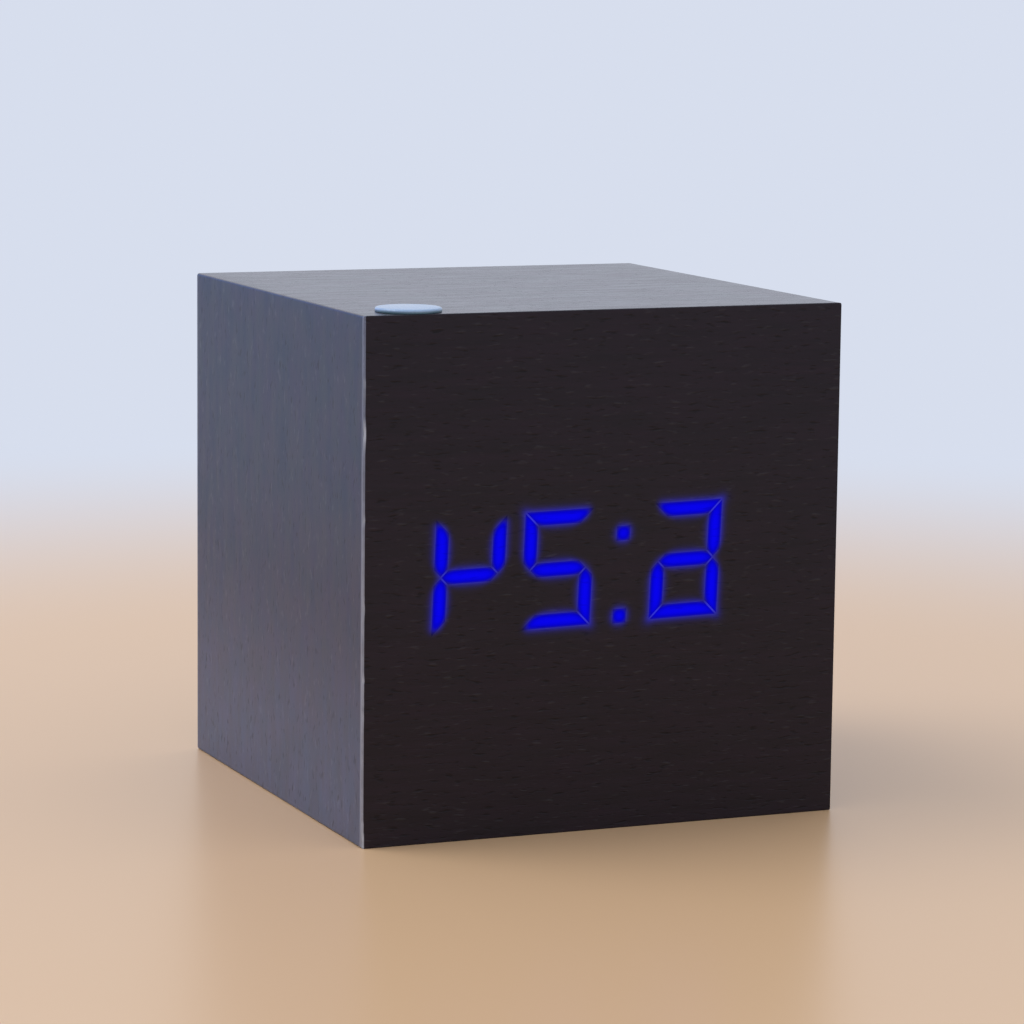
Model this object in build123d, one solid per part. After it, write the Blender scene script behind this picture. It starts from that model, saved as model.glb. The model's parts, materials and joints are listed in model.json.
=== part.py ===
"""Cube desk clock. Its seven-segment read-out shines through a thin wood-grain skin.

Millimetres. X runs to the right seen from the front, Y runs back, and Z runs up. The origin is the
middle of the base, on the table. The front face is at the lowest Y.
"""
import os
from math import cos, radians, sin, sqrt, tan

from build123d import *

os.makedirs("parts", exist_ok=True)

# The cube
case_width = 60.0
case_depth = 60.0
case_height = 61.0
panel_thickness = 3.0
skin_thickness = 0.4
skin_rim_ease = 0.3
edge_ease = 0.25
glue_gap = 0.1
cut_over = 1.0

# The read-out, seen through the skin. Its shares are of half the row that the reflector holds
display_x = -1.45
display_rise = 0.75
display_turn = 1.2
digit_height = 13.6
stroke_width = 1.6
mitre_gap = 0.2
digit_slant = 3.5
digit_width_share = 0.4265
first_digit_share = -0.7647
digit_pitch_share = 0.5392
colon_room_share = 0.2574
colon_place_share = 0.3971
half_digit_share = 0.3627
colon_spread = 9.7
colon_drop = 1.25
colon_dot = 1.65

# Reflector block behind the skin
reflector_wall = 0.9
reflector_head = 1.8
reflector_depth = 6.9
cavity_draft = 1.8
diffuser_depth = 1.5
window_gap = 0.25
peg_radius = 0.75
peg_length = 1.4
peg_edge_x = 1.1
peg_edge_z = 1.1

# Display board and what holds it
board_thickness = 1.6
display_board_room = 0.45
display_board_side = 3.8
display_board_head = 0.9
display_hole_edge = 1.8
spacer_flats = 3.2
spacer_bore = 0.95
small_shank = 0.8
small_head_radius = 1.5
small_head_height = 0.9
pilot_gap = 0.05
front_bite = 2.0
led_length = 1.0
led_width = 0.5
led_height = 0.45

# Main board, parallel to the rear panel
rear_spacer_length = 5.0
main_board_side = 1.0
main_board_rise = 0.45
main_board_head = 3.0
main_hole_edge = 2.5
rear_bite = 2.2

# Rear buttons and the switches that they press
button_pitch = 11.0
button_drop = 8.5
button_travel = 0.25
button_radius = 2.45
button_bore_gap = 0.05
button_recess = 0.2
button_rim_ease = 0.4
flange_radius = 3.3
flange_thickness = 0.8
flange_gap = 0.15
switch_size = 6.0
switch_gap = 0.65
switch_well_radius = 1.75
switch_well_depth = 1.6
plunger_radius = 1.7
plunger_rest_gap = 0.08

# Power jack
jack_edge = 8.0
jack_rise = 13.1
jack_base_size = 8.0
jack_panel_gap = 0.4
jack_neck_radius = 3.6
jack_neck_gap = 0.15
jack_recess = 0.3
jack_bore_radius = 1.9
jack_bore_depth = 6.5
jack_mouth_ease = 0.4
jack_pin_radius = 0.65
jack_pin_short = 0.6
jack_pin_ease = 0.3

# Vent over the room sensor, level with the jack
vent_edge = 10.5
vent_length = 7.0
vent_width = 1.1
vent_pitch = 2.4
vent_count = 3
sensor_disc_radius = 1.1
sensor_disc_thickness = 1.6
sensor_disc_ease = 0.3
sensor_leg_width = 0.4
sensor_leg_spread = 0.7
sensor_stand_off = 1.6

# Rear panel screws and the blocks that take them
block_width = 6.0
block_height = 6.0
block_length = 5.6
rear_screw_inset = 5.6
rear_shank = 1.1
rear_shank_length = 6.0
rear_head_radius = 2.0
rear_head_height = 1.3
rear_cross_width = 0.45
rear_cross_depth = 0.7

# Three small round cells, side by side, in a tray let into the base. The tray fills the sleeve's width
cell_radius = 5.25
cell_cap_radius = 1.9
cell_cap_height = 0.9
cell_shoulder = 0.6
cell_count = 3
cell_gap = 0.5
cell_lift = 2.3
tray_side_gap = 0.45
tray_end_room = 2.6
tray_wall = 1.2
tray_roof = 1.3
tray_head_gap = 0.4
tray_sink = 0.3
tray_fit = 0.15
tray_flange = 0.8
tray_flange_room = 0.15
tray_flange_thickness = 1.2
rib_thickness = 1.6
rib_station = 12.0
rib_relief = 0.25
rib_rise = 2.5

# Battery door
door_thickness = 1.5
door_gap = 0.15
door_ledge_width = 0.8
door_ledge_gap = 0.1
door_ledge_height = 1.0
door_tab_width = 4.0
door_tab_reach = 0.9
door_tab_thickness = 0.8
door_tab_y = 9.0
door_tab_gap = 0.1
door_slot_depth = 1.05
door_slot_side = 0.3
door_slot_height = 1.4
tongue_width = 7.2
tongue_length = 8.0
tongue_slot = 0.8
tongue_stand = 0.9
tongue_height = 2.0
tongue_set_back = 0.3
grip_count = 3
grip_pitch = 2.0
grip_width = 0.9
grip_length = 8.0
grip_depth = 0.5
grip_from_end = 4.0
door_rib_height = 0.45
door_rib_width = 1.0
door_rib_set_back = 7.85

# Cell contacts
contact_thickness = 0.3
contact_width = 7.0
contact_height = 8.0
contact_dimple_radius = 1.4
leaf_reach = 1.75
leaf_rise = 2.6
leaf_width = 4.6
leaf_root = 0.6
leaf_free_gap = 0.25
tab_width = 2.0
tab_height = 1.6
link_strip_height = 2.4

# Leads from the tray to the main board
lead_radius = 0.55
lead_sides = 8
lead_pitch = 2.0
socket_edge = 4.3
socket_rise = 9.0
socket_width = 6.0
socket_height = 4.6
socket_depth = 5.6
socket_wall = 0.7
socket_pocket = 4.0
lead_rise = 3.8
lead_run_in = 10.5
lead_lean = 0.8
black_route_shares = ((-0.72, -0.20, 0.87), (-0.58, 0.03, 0.98))
red_route_shares = ((0.62, 0.18, 0.58), (0.30, 0.05, 0.39), (-0.07, 0.02, 0.37), (-0.36, 0.12, 0.68))

# Flat cable between the boards
ribbon_ways = 8
ribbon_pitch = 1.27
ribbon_thickness = 0.8
ribbon_sag = 5.0
ribbon_straight = 4.0
ribbon_dip_share = 1 / 3
plug_depth = 4.0
plug_height = 4.6
plug_side = 1.2
plug_key_width = 3.0
plug_key_depth = 0.6
display_plug_drop = 1.25
main_plug_rise = 11.6

# Chips, each with its distance from the board's side
controller_edge = 8.5
controller_drop = 10.0
controller_width = 7.5
controller_length = 13.0
controller_height = 2.1
controller_pins = 10
driver_edge = 11.5
driver_width = 3.9
driver_length = 8.6
driver_height = 1.5
driver_pins = 7
pin_pitch = 1.27
pin_width = 0.45
pin_reach = 0.9
pin_thickness = 0.3
chip_stand_off = 0.1

# Other parts on the boards
holder_edge = 8.2
holder_drop = 9.6
holder_wall = 0.75
holder_height = 3.0
holder_floor = 0.5
holder_mouth = 6.0
coin_radius = 6.25
coin_thickness = 2.0
coin_rim = 0.6
coin_cap_thickness = 0.3
coin_gap = 0.1
buzzer_edge = 4.4
buzzer_rise = 8.2
buzzer_radius = 4.0
buzzer_height = 5.0
buzzer_port_radius = 0.8
buzzer_port_depth = 1.0
microphone_x = 2.0
microphone_rise = 17.8
microphone_radius = 2.4
microphone_height = 2.4
microphone_face_radius = 1.7
microphone_face_depth = 0.3
can_x = -3.6
can_rise = 17.8
can_radius = 2.5
can_height = 6.6
can_groove = 0.3
can_groove_height = 0.8
can_groove_up = 1.0
crystal_edge = 2.4
crystal_drop = 12.0
crystal_radius = 1.05
crystal_length = 6.2
small_part_edge = 8.0
small_part_length = 1.6
small_part_width = 1.2
small_part_height = 0.6
small_part_count = 5
small_part_pitch = 2.0

# Dot that marks where to tap, with its distances from the left and front faces
dot_side = 6.85
dot_front = 4.1
dot_radius = 3.85
dot_thickness = 0.6
dot_ease = 0.2

# Places worked out from the sizes
half_width = case_width / 2
front_y = -case_depth / 2
rear_y = case_depth / 2
skin_back_y = front_y + skin_thickness
board_back_y = skin_back_y + panel_thickness
rear_inner_y = rear_y - panel_thickness
inner_x = half_width - panel_thickness
floor_z = panel_thickness
ceiling_z = case_height - panel_thickness
main_back_y = rear_inner_y - rear_spacer_length
main_front_y = main_back_y - board_thickness
display_front_y = skin_back_y + reflector_depth
display_back_y = display_front_y + board_thickness

display_z = case_height / 2 + display_rise
display_board_width = 2 * (inner_x - abs(display_x) - display_board_room)
reflector_width = display_board_width - 2 * display_board_side
reflector_height = digit_height + 2 * reflector_head
display_board_height = reflector_height + 2 * display_board_head
row_half = reflector_width / 2 - reflector_wall
digit_width = digit_width_share * row_half
first_digit_x = first_digit_share * row_half
digit_pitch = digit_pitch_share * row_half
colon_room = colon_room_share * row_half
colon_place = colon_place_share * row_half
half_digit_pitch = half_digit_share * row_half

cell_pitch = 2 * cell_radius + cell_gap
cell_row_width = cell_count * 2 * cell_radius + (cell_count - 1) * cell_gap
tray_outer_x = inner_x - tray_flange_room - tray_flange
tray_inner_x = tray_outer_x - tray_wall
tray_inner_y = cell_row_width / 2 + tray_side_gap
tray_outer_y = tray_inner_y + tray_wall
tray_y = (board_back_y + rear_inner_y - block_length) / 2
cell_length = 2 * (tray_inner_x - tray_end_room)
door_top_z = tray_sink + door_thickness
cell_z = cell_lift + cell_radius + door_rib_height
tray_ceiling_z = cell_z + cell_radius + tray_head_gap
tray_top_z = tray_ceiling_z + tray_roof
tray_flange_top_z = floor_z + tray_flange_thickness

main_half = inner_x - block_width - main_board_side
main_low_z = tray_top_z + main_board_rise
main_high_z = ceiling_z - main_board_head
button_row_z = main_high_z - button_drop
switch_height = rear_spacer_length - flange_gap - flange_thickness - switch_gap
jack_x = jack_edge - main_half
jack_z = main_low_z + jack_rise
jack_base_height = rear_spacer_length - jack_panel_gap
vent_x = main_half - vent_edge
vent_z = jack_z
socket_x = socket_edge - main_half
socket_z = main_low_z + socket_rise
display_plug_z = display_z - display_plug_drop
main_plug_z = main_low_z + main_plug_rise

parts = {}


def span_box(x0, x1, y0, y1, z0, z1):
    """A block between two opposite corners."""
    middle = Pos((x0 + x1) / 2, (y0 + y1) / 2, (z0 + z1) / 2)
    return middle * Box(abs(x1 - x0), abs(y1 - y0), abs(z1 - z0))


def rod_y(radius, y0, y1, x=0, z=0):
    """A round bar along Y."""
    return Pos(x, (y0 + y1) / 2, z) * Rot(90, 0, 0) * Cylinder(radius, abs(y1 - y0))


def rod_x(radius, x0, x1, y=0, z=0):
    """A round bar along X."""
    return Pos((x0 + x1) / 2, y, z) * Rot(0, 90, 0) * Cylinder(radius, abs(x1 - x0))


def prism_y(outline, y0, y1):
    """An outline in X and Z, carried along Y."""
    face = Face(Wire.make_polygon([(x, y0, z) for x, z in outline]))
    return extrude(face, amount=y1 - y0, dir=(0, 1, 0))


def group(solids):
    """Like pieces that share a node."""
    return Compound(children=[solid for piece in solids for solid in piece.solids()])


def on_display(piece):
    """Carry a piece from the read-out's own frame to its place, with its slight turn."""
    return Pos(display_x, 0, display_z) * Rot(0, -display_turn, 0) * piece


def in_bay(piece):
    """Carry a piece from the battery tray's own frame to its place between front board and blocks."""
    return Pos(0, tray_y, 0) * piece


def cross_recess(width, reach, y0, y1, x, z):
    """A cross-shaped driver recess in a screw head."""
    upright = span_box(x - width, x + width, y0, y1, z - reach, z + reach)
    level = span_box(x - reach, x + reach, y0, y1, z - width, z + width)
    return upright + level


def segment_outlines():
    """The seven segments of one digit about its own middle: mitred ends, pointed at the waist."""
    half_w = digit_width / 2
    half_h = digit_height / 2
    tip = stroke_width / 2
    ease = mitre_gap / sqrt(2)
    top = [
        (-half_w + ease, half_h),
        (half_w - ease, half_h),
        (half_w - stroke_width - ease, half_h - stroke_width),
        (-half_w + stroke_width + ease, half_h - stroke_width),
    ]
    waist = [
        (-half_w + tip + ease, 0),
        (-half_w + stroke_width + ease, tip),
        (half_w - stroke_width - ease, tip),
        (half_w - tip - ease, 0),
        (half_w - stroke_width - ease, -tip),
        (-half_w + stroke_width + ease, -tip),
    ]
    upright = [
        (-half_w, half_h - ease),
        (-half_w, tip + ease),
        (-half_w + tip, ease),
        (-half_w + stroke_width, tip + ease),
        (-half_w + stroke_width, half_h - stroke_width - ease),
    ]
    return {
        "top": top,
        "bottom": [(u, -v) for u, v in top],
        "middle": waist,
        "upper_left": upright,
        "upper_right": [(-u, v) for u, v in upright],
        "lower_left": [(u, -v) for u, v in upright],
        "lower_right": [(-u, -v) for u, v in upright],
    }


def lean(outline, centre_u, centre_v=0):
    """Slant an outline and set it at its place along the row."""
    rise = tan(radians(digit_slant))
    return [(centre_u + u + (centre_v + v) * rise, centre_v + v) for u, v in outline]


def colon_outlines():
    """The two square dots between the hours and the minutes."""
    half = colon_dot / 2
    dot = [(-half, -half), (half, -half), (half, half), (-half, half)]
    centre_u = first_digit_x + digit_pitch + colon_place
    return [lean(dot, centre_u, sign * colon_spread / 2 - colon_drop) for sign in (1, -1)]


def read_out():
    """Every cavity of the read-out as (outline, lit, upright)."""
    shapes = segment_outlines()
    second_x = first_digit_x + digit_pitch
    third_x = second_x + digit_pitch + colon_room
    digits = (
        (first_digit_x, ("upper_left", "upper_right", "middle", "lower_left")),
        (second_x, ("top", "upper_left", "middle", "lower_right", "bottom")),
        (third_x, ("top", "upper_right", "middle", "lower_left", "lower_right", "bottom")),
    )
    cavities = []
    for centre_u, lit_names in digits:
        for name, outline in shapes.items():
            upright = "left" in name or "right" in name
            cavities.append((lean(outline, centre_u), name in lit_names, upright))
    for outline in colon_outlines():
        cavities.append((outline, True, True))
    stroke_middle = (digit_width - stroke_width) / 2
    for name in ("upper_right", "lower_right"):
        outline = lean(shapes[name], third_x + half_digit_pitch - stroke_middle)
        cavities.append((outline, False, True))
    return cavities


def drafted(outline, y0, depth):
    """An outline carried back along Y, drawn in by the moulding draft."""
    ring = Face(Wire.make_polygon([(u, v, 0) for u, v in outline]))
    if ring.normal_at().Z < 0:
        ring = Face(Wire.make_polygon([(u, v, 0) for u, v in reversed(outline)]))
    block = Solid.extrude_taper(ring, (0, 0, depth), cavity_draft)
    return Pos(0, y0, 0) * Rot(-90, 0, 0) * mirror(block, Plane.XZ)


def sleeve_panel(half_span, inner_half_span, thickness):
    """Profile of one sleeve board, outer face up: mitred ends with the corner eased off."""
    half_ease = edge_ease / 2
    return [
        (-half_span + edge_ease, 0),
        (half_span - edge_ease, 0),
        (half_span - half_ease, -half_ease),
        (inner_half_span, -thickness),
        (-inner_half_span, -thickness),
        (-half_span + half_ease, -half_ease),
    ]


def make_sleeve():
    """Four mitred boards, folded round into the body of the cube."""
    flat = sleeve_panel(half_width, inner_x, panel_thickness)
    tall = sleeve_panel(case_height / 2, case_height / 2 - panel_thickness, panel_thickness)
    middle_z = case_height / 2
    top = prism_y([(u, case_height + v) for u, v in flat], skin_back_y, rear_y)
    bottom = prism_y([(u, -v) for u, v in flat], skin_back_y, rear_y)
    bay = span_box(
        -tray_outer_x - tray_fit, tray_outer_x + tray_fit,
        -tray_outer_y - tray_fit, tray_outer_y + tray_fit,
        -cut_over, floor_z + cut_over,
    )
    parts["top_panel"] = top
    parts["bottom_panel"] = bottom - in_bay(bay)
    parts["left_side_panel"] = prism_y(
        [(-half_width - v, middle_z + u) for u, v in tall], skin_back_y, rear_y)
    parts["right_side_panel"] = prism_y(
        [(half_width + v, middle_z + u) for u, v in tall], skin_back_y, rear_y)


def display_hole_places():
    """Screw places of the display board, in the read-out's frame."""
    u = display_board_width / 2 - display_hole_edge
    v = display_board_height / 2 - display_hole_edge
    return [(su * u, sv * v) for su in (-1, 1) for sv in (-1, 1)]


def make_front():
    """The inset front board, the skin over it, and the patches that the light comes through."""
    board = span_box(
        -inner_x + glue_gap, inner_x - glue_gap, skin_back_y, board_back_y,
        floor_z + glue_gap, ceiling_z - glue_gap,
    )
    half_w = reflector_width / 2 + window_gap
    half_h = reflector_height / 2 + window_gap
    window = span_box(
        -half_w, half_w, skin_back_y - cut_over, board_back_y + cut_over, -half_h, half_h)
    board = board - on_display(window)
    for u, v in display_hole_places():
        pilot = rod_y(small_shank + pilot_gap, board_back_y - front_bite, board_back_y + cut_over, u, v)
        board = board - on_display(pilot)
    parts["front_board"] = board

    ease = edge_ease
    outline = [
        (-half_width + ease, 0), (half_width - ease, 0), (half_width, ease),
        (half_width, case_height - ease), (half_width - ease, case_height),
        (-half_width + ease, case_height), (-half_width, case_height - ease), (-half_width, ease),
    ]
    skin = prism_y(outline, front_y, skin_back_y)
    skin = chamfer(skin.faces().sort_by(Axis.Y)[0].edges(), skin_rim_ease)
    patches = [prism_y(o, front_y, skin_back_y) for o, lit, _ in read_out() if lit]
    patches = [on_display(patch) for patch in patches]
    for patch in patches:
        skin = skin - patch
    parts["front_skin"] = skin
    parts["lit_segments"] = group(patches)


def make_read_out():
    """Reflector block with a drafted well behind each segment, its diffusers and its lamps."""
    half_w = reflector_width / 2
    half_h = reflector_height / 2
    block = span_box(-half_w, half_w, skin_back_y, display_front_y, -half_h, half_h)
    pegs = [
        rod_y(peg_radius, display_front_y, display_front_y + peg_length, u, v)
        for u, v in peg_places()
    ]
    wells = [drafted(o, skin_back_y, reflector_depth) for o, _, _ in read_out()]
    block = block - Compound(children=[s for well in wells for s in well.solids()])
    for peg in pegs:
        block = block + peg
    parts["reflector_block"] = on_display(block)
    parts["segment_diffusers"] = group(
        [on_display(drafted(o, skin_back_y, diffuser_depth)) for o, _, _ in read_out()])
    lamps = []
    for outline, _, upright in read_out():
        u = sum(point[0] for point in outline) / len(outline)
        v = sum(point[1] for point in outline) / len(outline)
        half_u = (led_width if upright else led_length) / 2
        half_v = (led_length if upright else led_width) / 2
        lamps.append(on_display(span_box(
            u - half_u, u + half_u, display_front_y - led_height, display_front_y,
            v - half_v, v + half_v)))
    parts["led_chips"] = group(lamps)


def peg_places():
    """Two locating pegs at opposite corners of the reflector block."""
    u = reflector_width / 2 - peg_edge_x
    v = reflector_height / 2 - peg_edge_z
    return [(-u, -v), (u, v)]


def board_screw(x, z, head_y, toward, length):
    """A pan-head screw along Y. Its head stands off head_y, away from the way it points."""
    tip_y = head_y + toward * length
    back_y = head_y - toward * small_head_height
    return rod_y(small_shank, head_y, tip_y, x, z) + rod_y(small_head_radius, back_y, head_y, x, z)


def spacer(x, z, y0, y1):
    """A hexagonal spacer along Y with a round bore."""
    outline = [(x + u, z + v) for u, v in hexagon(spacer_flats / 2)]
    return prism_y(outline, y0, y1) - rod_y(spacer_bore, y0 - cut_over, y1 + cut_over, x, z)


def hexagon(reach):
    """Corners of a regular hexagon that reaches this far to each flat."""
    corner = reach / cos(radians(30))
    return [
        (corner * cos(radians(turn)), corner * sin(radians(turn))) for turn in range(0, 360, 60)
    ]


def make_display_board():
    """The board behind the reflector, its spacers and its screws."""
    half_w = display_board_width / 2
    half_h = display_board_height / 2
    board = span_box(-half_w, half_w, display_front_y, display_back_y, -half_h, half_h)
    spacers = []
    screws = []
    for u, v in display_hole_places():
        board = board - rod_y(
            spacer_bore, display_front_y - cut_over, display_back_y + cut_over, u, v)
        spacers.append(on_display(spacer(u, v, board_back_y, display_front_y)))
        length = display_back_y - board_back_y + front_bite - pilot_gap
        screws.append(on_display(board_screw(u, v, display_back_y, -1, length)))
    for u, v in peg_places():
        board = board - rod_y(
            peg_radius + pilot_gap, display_front_y - cut_over, display_back_y + cut_over, u, v)
    parts["display_board"] = on_display(board)
    parts["display_spacers"] = group(spacers)
    parts["display_screws"] = group(screws)


def ribbon_width():
    """Width of the flat cable: its wires side by side."""
    return ribbon_ways * ribbon_pitch


def plug(y_board, y_face, z):
    """A flat-cable plug on a board, with its key."""
    half = ribbon_width() / 2 + plug_side
    body = span_box(-half, half, y_board, y_face, z - plug_height / 2, z + plug_height / 2)
    key = span_box(
        -plug_key_width / 2, plug_key_width / 2, y_board, y_face,
        z + plug_height / 2, z + plug_height / 2 + plug_key_depth)
    return body + key


def make_ribbon():
    """Flat cable: straight out of each plug, with one slack dip between."""
    start_y = display_back_y + plug_depth
    end_y = main_front_y - plug_depth
    low_z = min(display_plug_z, main_plug_z) - ribbon_sag
    span = end_y - start_y
    points = [
        (0, start_y, display_plug_z),
        (0, start_y + ribbon_straight, display_plug_z),
        (0, start_y + span * ribbon_dip_share, low_z + ribbon_sag * ribbon_dip_share),
        (0, end_y - span * ribbon_dip_share, low_z + ribbon_sag * ribbon_dip_share),
        (0, end_y - ribbon_straight, main_plug_z),
        (0, end_y, main_plug_z),
    ]
    path = routed(points)
    section = Plane(origin=points[0], x_dir=(1, 0, 0), z_dir=(0, 1, 0)) * Rectangle(
        ribbon_width(), ribbon_thickness)
    cable = sweep(section, path=path)
    parts["ribbon_cable"] = cable
    parts["ribbon_plugs"] = group([
        plug(display_back_y, start_y, display_plug_z),
        plug(main_front_y, end_y, main_plug_z),
    ])


def routed(points):
    """Straight runs joined by tangent arcs, each arc as large as its two runs allow."""
    arc_share = 0.45
    radii = []
    for before, at, after in zip(points, points[1:], points[2:]):
        run_in = Vector(*at) - Vector(*before)
        run_out = Vector(*after) - Vector(*at)
        half_turn = radians(run_in.get_angle(run_out)) / 2
        radii.append(arc_share * min(run_in.length, run_out.length) / tan(half_turn))
    return FilletPolyline(*points, radius=radii)


def main_hole_places():
    """Screw places of the main board."""
    x = main_half - main_hole_edge
    return [
        (side * x, z) for side in (-1, 1)
        for z in (main_low_z + main_hole_edge, main_high_z - main_hole_edge)
    ]


def make_main_board():
    """The board that carries the works, stood off the rear panel."""
    board = span_box(
        -main_half, main_half, main_front_y, main_back_y, main_low_z, main_high_z)
    spacers = []
    screws = []
    for x, z in main_hole_places():
        board = board - rod_y(spacer_bore, main_front_y - cut_over, main_back_y + cut_over, x, z)
        spacers.append(spacer(x, z, main_back_y, rear_inner_y))
        length = rear_inner_y - main_front_y + rear_bite - pilot_gap
        screws.append(board_screw(x, z, main_front_y, 1, length))
    parts["main_board"] = board
    parts["board_spacers"] = group(spacers)
    parts["board_screws"] = group(screws)


def button_places():
    """Name and X of each rear button, left to right seen from the front."""
    return (("down", -button_pitch), ("up", 0), ("set", button_pitch))


def rear_screw_places():
    """Corner screws of the rear panel."""
    x = half_width - rear_screw_inset
    return [
        (sx * x, z) for sx in (-1, 1)
        for z in (rear_screw_inset, case_height - rear_screw_inset)
    ]


def countersunk(x, z, grow):
    """A flush countersunk screw along Y, or with grow above zero the hole that takes it."""
    neck_y = rear_y - rear_head_height
    shank = rod_y(rear_shank + grow, neck_y - rear_shank_length - grow, neck_y, x, z)
    place = Pos(x, (rear_y + neck_y) / 2, z) * Rot(-90, 0, 0)
    return shank + place * Cone(rear_shank + grow, rear_head_radius + grow, rear_head_height)


def make_rear():
    """Rear panel with its holes, the corner blocks behind it and its screws."""
    panel = span_box(
        -inner_x + glue_gap, inner_x - glue_gap, rear_inner_y, rear_y,
        floor_z + glue_gap, ceiling_z - glue_gap,
    )
    through = (rear_inner_y - cut_over, rear_y + cut_over)
    for _, x in button_places():
        panel = panel - rod_y(button_radius + button_bore_gap, *through, x, button_row_z)
    panel = panel - rod_y(jack_neck_radius + jack_neck_gap, *through, jack_x, jack_z)
    for row in range(vent_count):
        z = vent_z + (row - (vent_count - 1) / 2) * vent_pitch
        half = (vent_length - vent_width) / 2
        slot = span_box(
            vent_x - half, vent_x + half, *through, z - vent_width / 2, z + vent_width / 2)
        for side in (-half, half):
            slot = slot + rod_y(vent_width / 2, *through, vent_x + side, z)
        panel = panel - slot
    for x, z in main_hole_places():
        panel = panel - rod_y(
            small_shank + pilot_gap, rear_inner_y - cut_over, rear_inner_y + rear_bite, x, z)
    screws = []
    blocks = []
    for x, z in rear_screw_places():
        hole = countersunk(x, z, pilot_gap)
        panel = panel - hole
        side = 1 if x > 0 else -1
        block_x = (side * inner_x, side * (inner_x - block_width))
        low = floor_z if z < case_height / 2 else ceiling_z - block_height
        block = span_box(
            min(block_x), max(block_x), rear_inner_y - block_length, rear_inner_y,
            low, low + block_height)
        blocks.append(block - hole)
        recess = cross_recess(
            rear_cross_width / 2, rear_head_radius - rear_cross_width,
            rear_y - rear_cross_depth, rear_y + cut_over, x, z)
        screws.append(countersunk(x, z, 0) - recess)
    parts["rear_panel"] = panel
    parts["corner_blocks"] = group(blocks)
    parts["rear_screws"] = group(screws)


def make_buttons():
    """Each button: a flanged cap in the rear panel, on the plunger of its switch."""
    flange_front_y = rear_inner_y - flange_gap - flange_thickness
    cap_y = rear_y - button_recess
    switches = []
    for name, x in button_places():
        flange = rod_y(flange_radius, flange_front_y, rear_inner_y - flange_gap, x, button_row_z)
        stem = rod_y(button_radius, rear_inner_y - flange_gap, cap_y, x, button_row_z)
        rim = stem.edges().filter_by(GeomType.CIRCLE).sort_by(Axis.Y)[-1]
        parts[name + "_button"] = flange + chamfer(rim, button_rim_ease)

        well_floor_y = main_back_y + switch_height - switch_well_depth
        start_y = well_floor_y + button_travel + plunger_rest_gap
        parts[name + "_plunger"] = rod_y(plunger_radius, start_y, flange_front_y, x, button_row_z)

        half = switch_size / 2
        body = span_box(
            x - half, x + half, main_back_y, main_back_y + switch_height,
            button_row_z - half, button_row_z + half)
        well = rod_y(
            switch_well_radius, well_floor_y, main_back_y + switch_height + cut_over,
            x, button_row_z)
        switches.append(body - well)
    parts["button_switches"] = group(switches)


def make_jack():
    """Round power jack with its centre pin, stood on the main board and through the rear panel."""
    half = jack_base_size / 2
    mouth_y = rear_y - jack_recess
    base_y = main_back_y + jack_base_height
    base = span_box(
        jack_x - half, jack_x + half, main_back_y, base_y, jack_z - half, jack_z + half)
    neck = rod_y(jack_neck_radius, base_y, mouth_y, jack_x, jack_z)
    floor_y = mouth_y - jack_bore_depth
    bore = rod_y(jack_bore_radius, floor_y, mouth_y + cut_over, jack_x, jack_z)
    body = base + neck - bore
    lip = body.edges().filter_by(GeomType.CIRCLE).group_by(Axis.Y)[-1].sort_by(SortBy.RADIUS)[0]
    parts["power_jack"] = chamfer(lip, jack_mouth_ease)
    pin = rod_y(jack_pin_radius, floor_y, mouth_y - jack_pin_short, jack_x, jack_z)
    tip = pin.edges().filter_by(GeomType.CIRCLE).sort_by(Axis.Y)[-1]
    parts["jack_pin"] = chamfer(tip, jack_pin_ease)


def make_sensor():
    """Disc sensor on two square legs, behind the vent."""
    start_y = main_back_y + sensor_stand_off
    disc = rod_y(sensor_disc_radius, start_y, start_y + sensor_disc_thickness, vent_x, vent_z)
    rim = disc.edges().filter_by(GeomType.CIRCLE).sort_by(Axis.Y)[-1]
    sensor = chamfer(rim, sensor_disc_ease)
    half = sensor_leg_width / 2
    for side in (-1, 1):
        x = vent_x + side * sensor_leg_spread
        sensor = sensor + span_box(
            x - half, x + half, main_back_y, start_y, vent_z - half, vent_z + half)
    parts["room_sensor"] = sensor


def chip(x, z, width, length, height, pins, board_y, side_y):
    """A chip with gull-wing pins down both long sides, on a board's front (-1) or back (1)."""
    under_y = board_y + side_y * chip_stand_off
    body = span_box(
        x - width / 2, x + width / 2, under_y, under_y + side_y * height,
        z - length / 2, z + length / 2)
    pieces = [body]
    for side in (-1, 1):
        root_x = x + side * width / 2
        for index in range(pins):
            pin_z = z + (index - (pins - 1) / 2) * pin_pitch
            pieces.append(span_box(
                root_x, root_x + side * pin_reach, board_y, board_y + side_y * pin_thickness,
                pin_z - pin_width / 2, pin_z + pin_width / 2))
    return pieces


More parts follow.
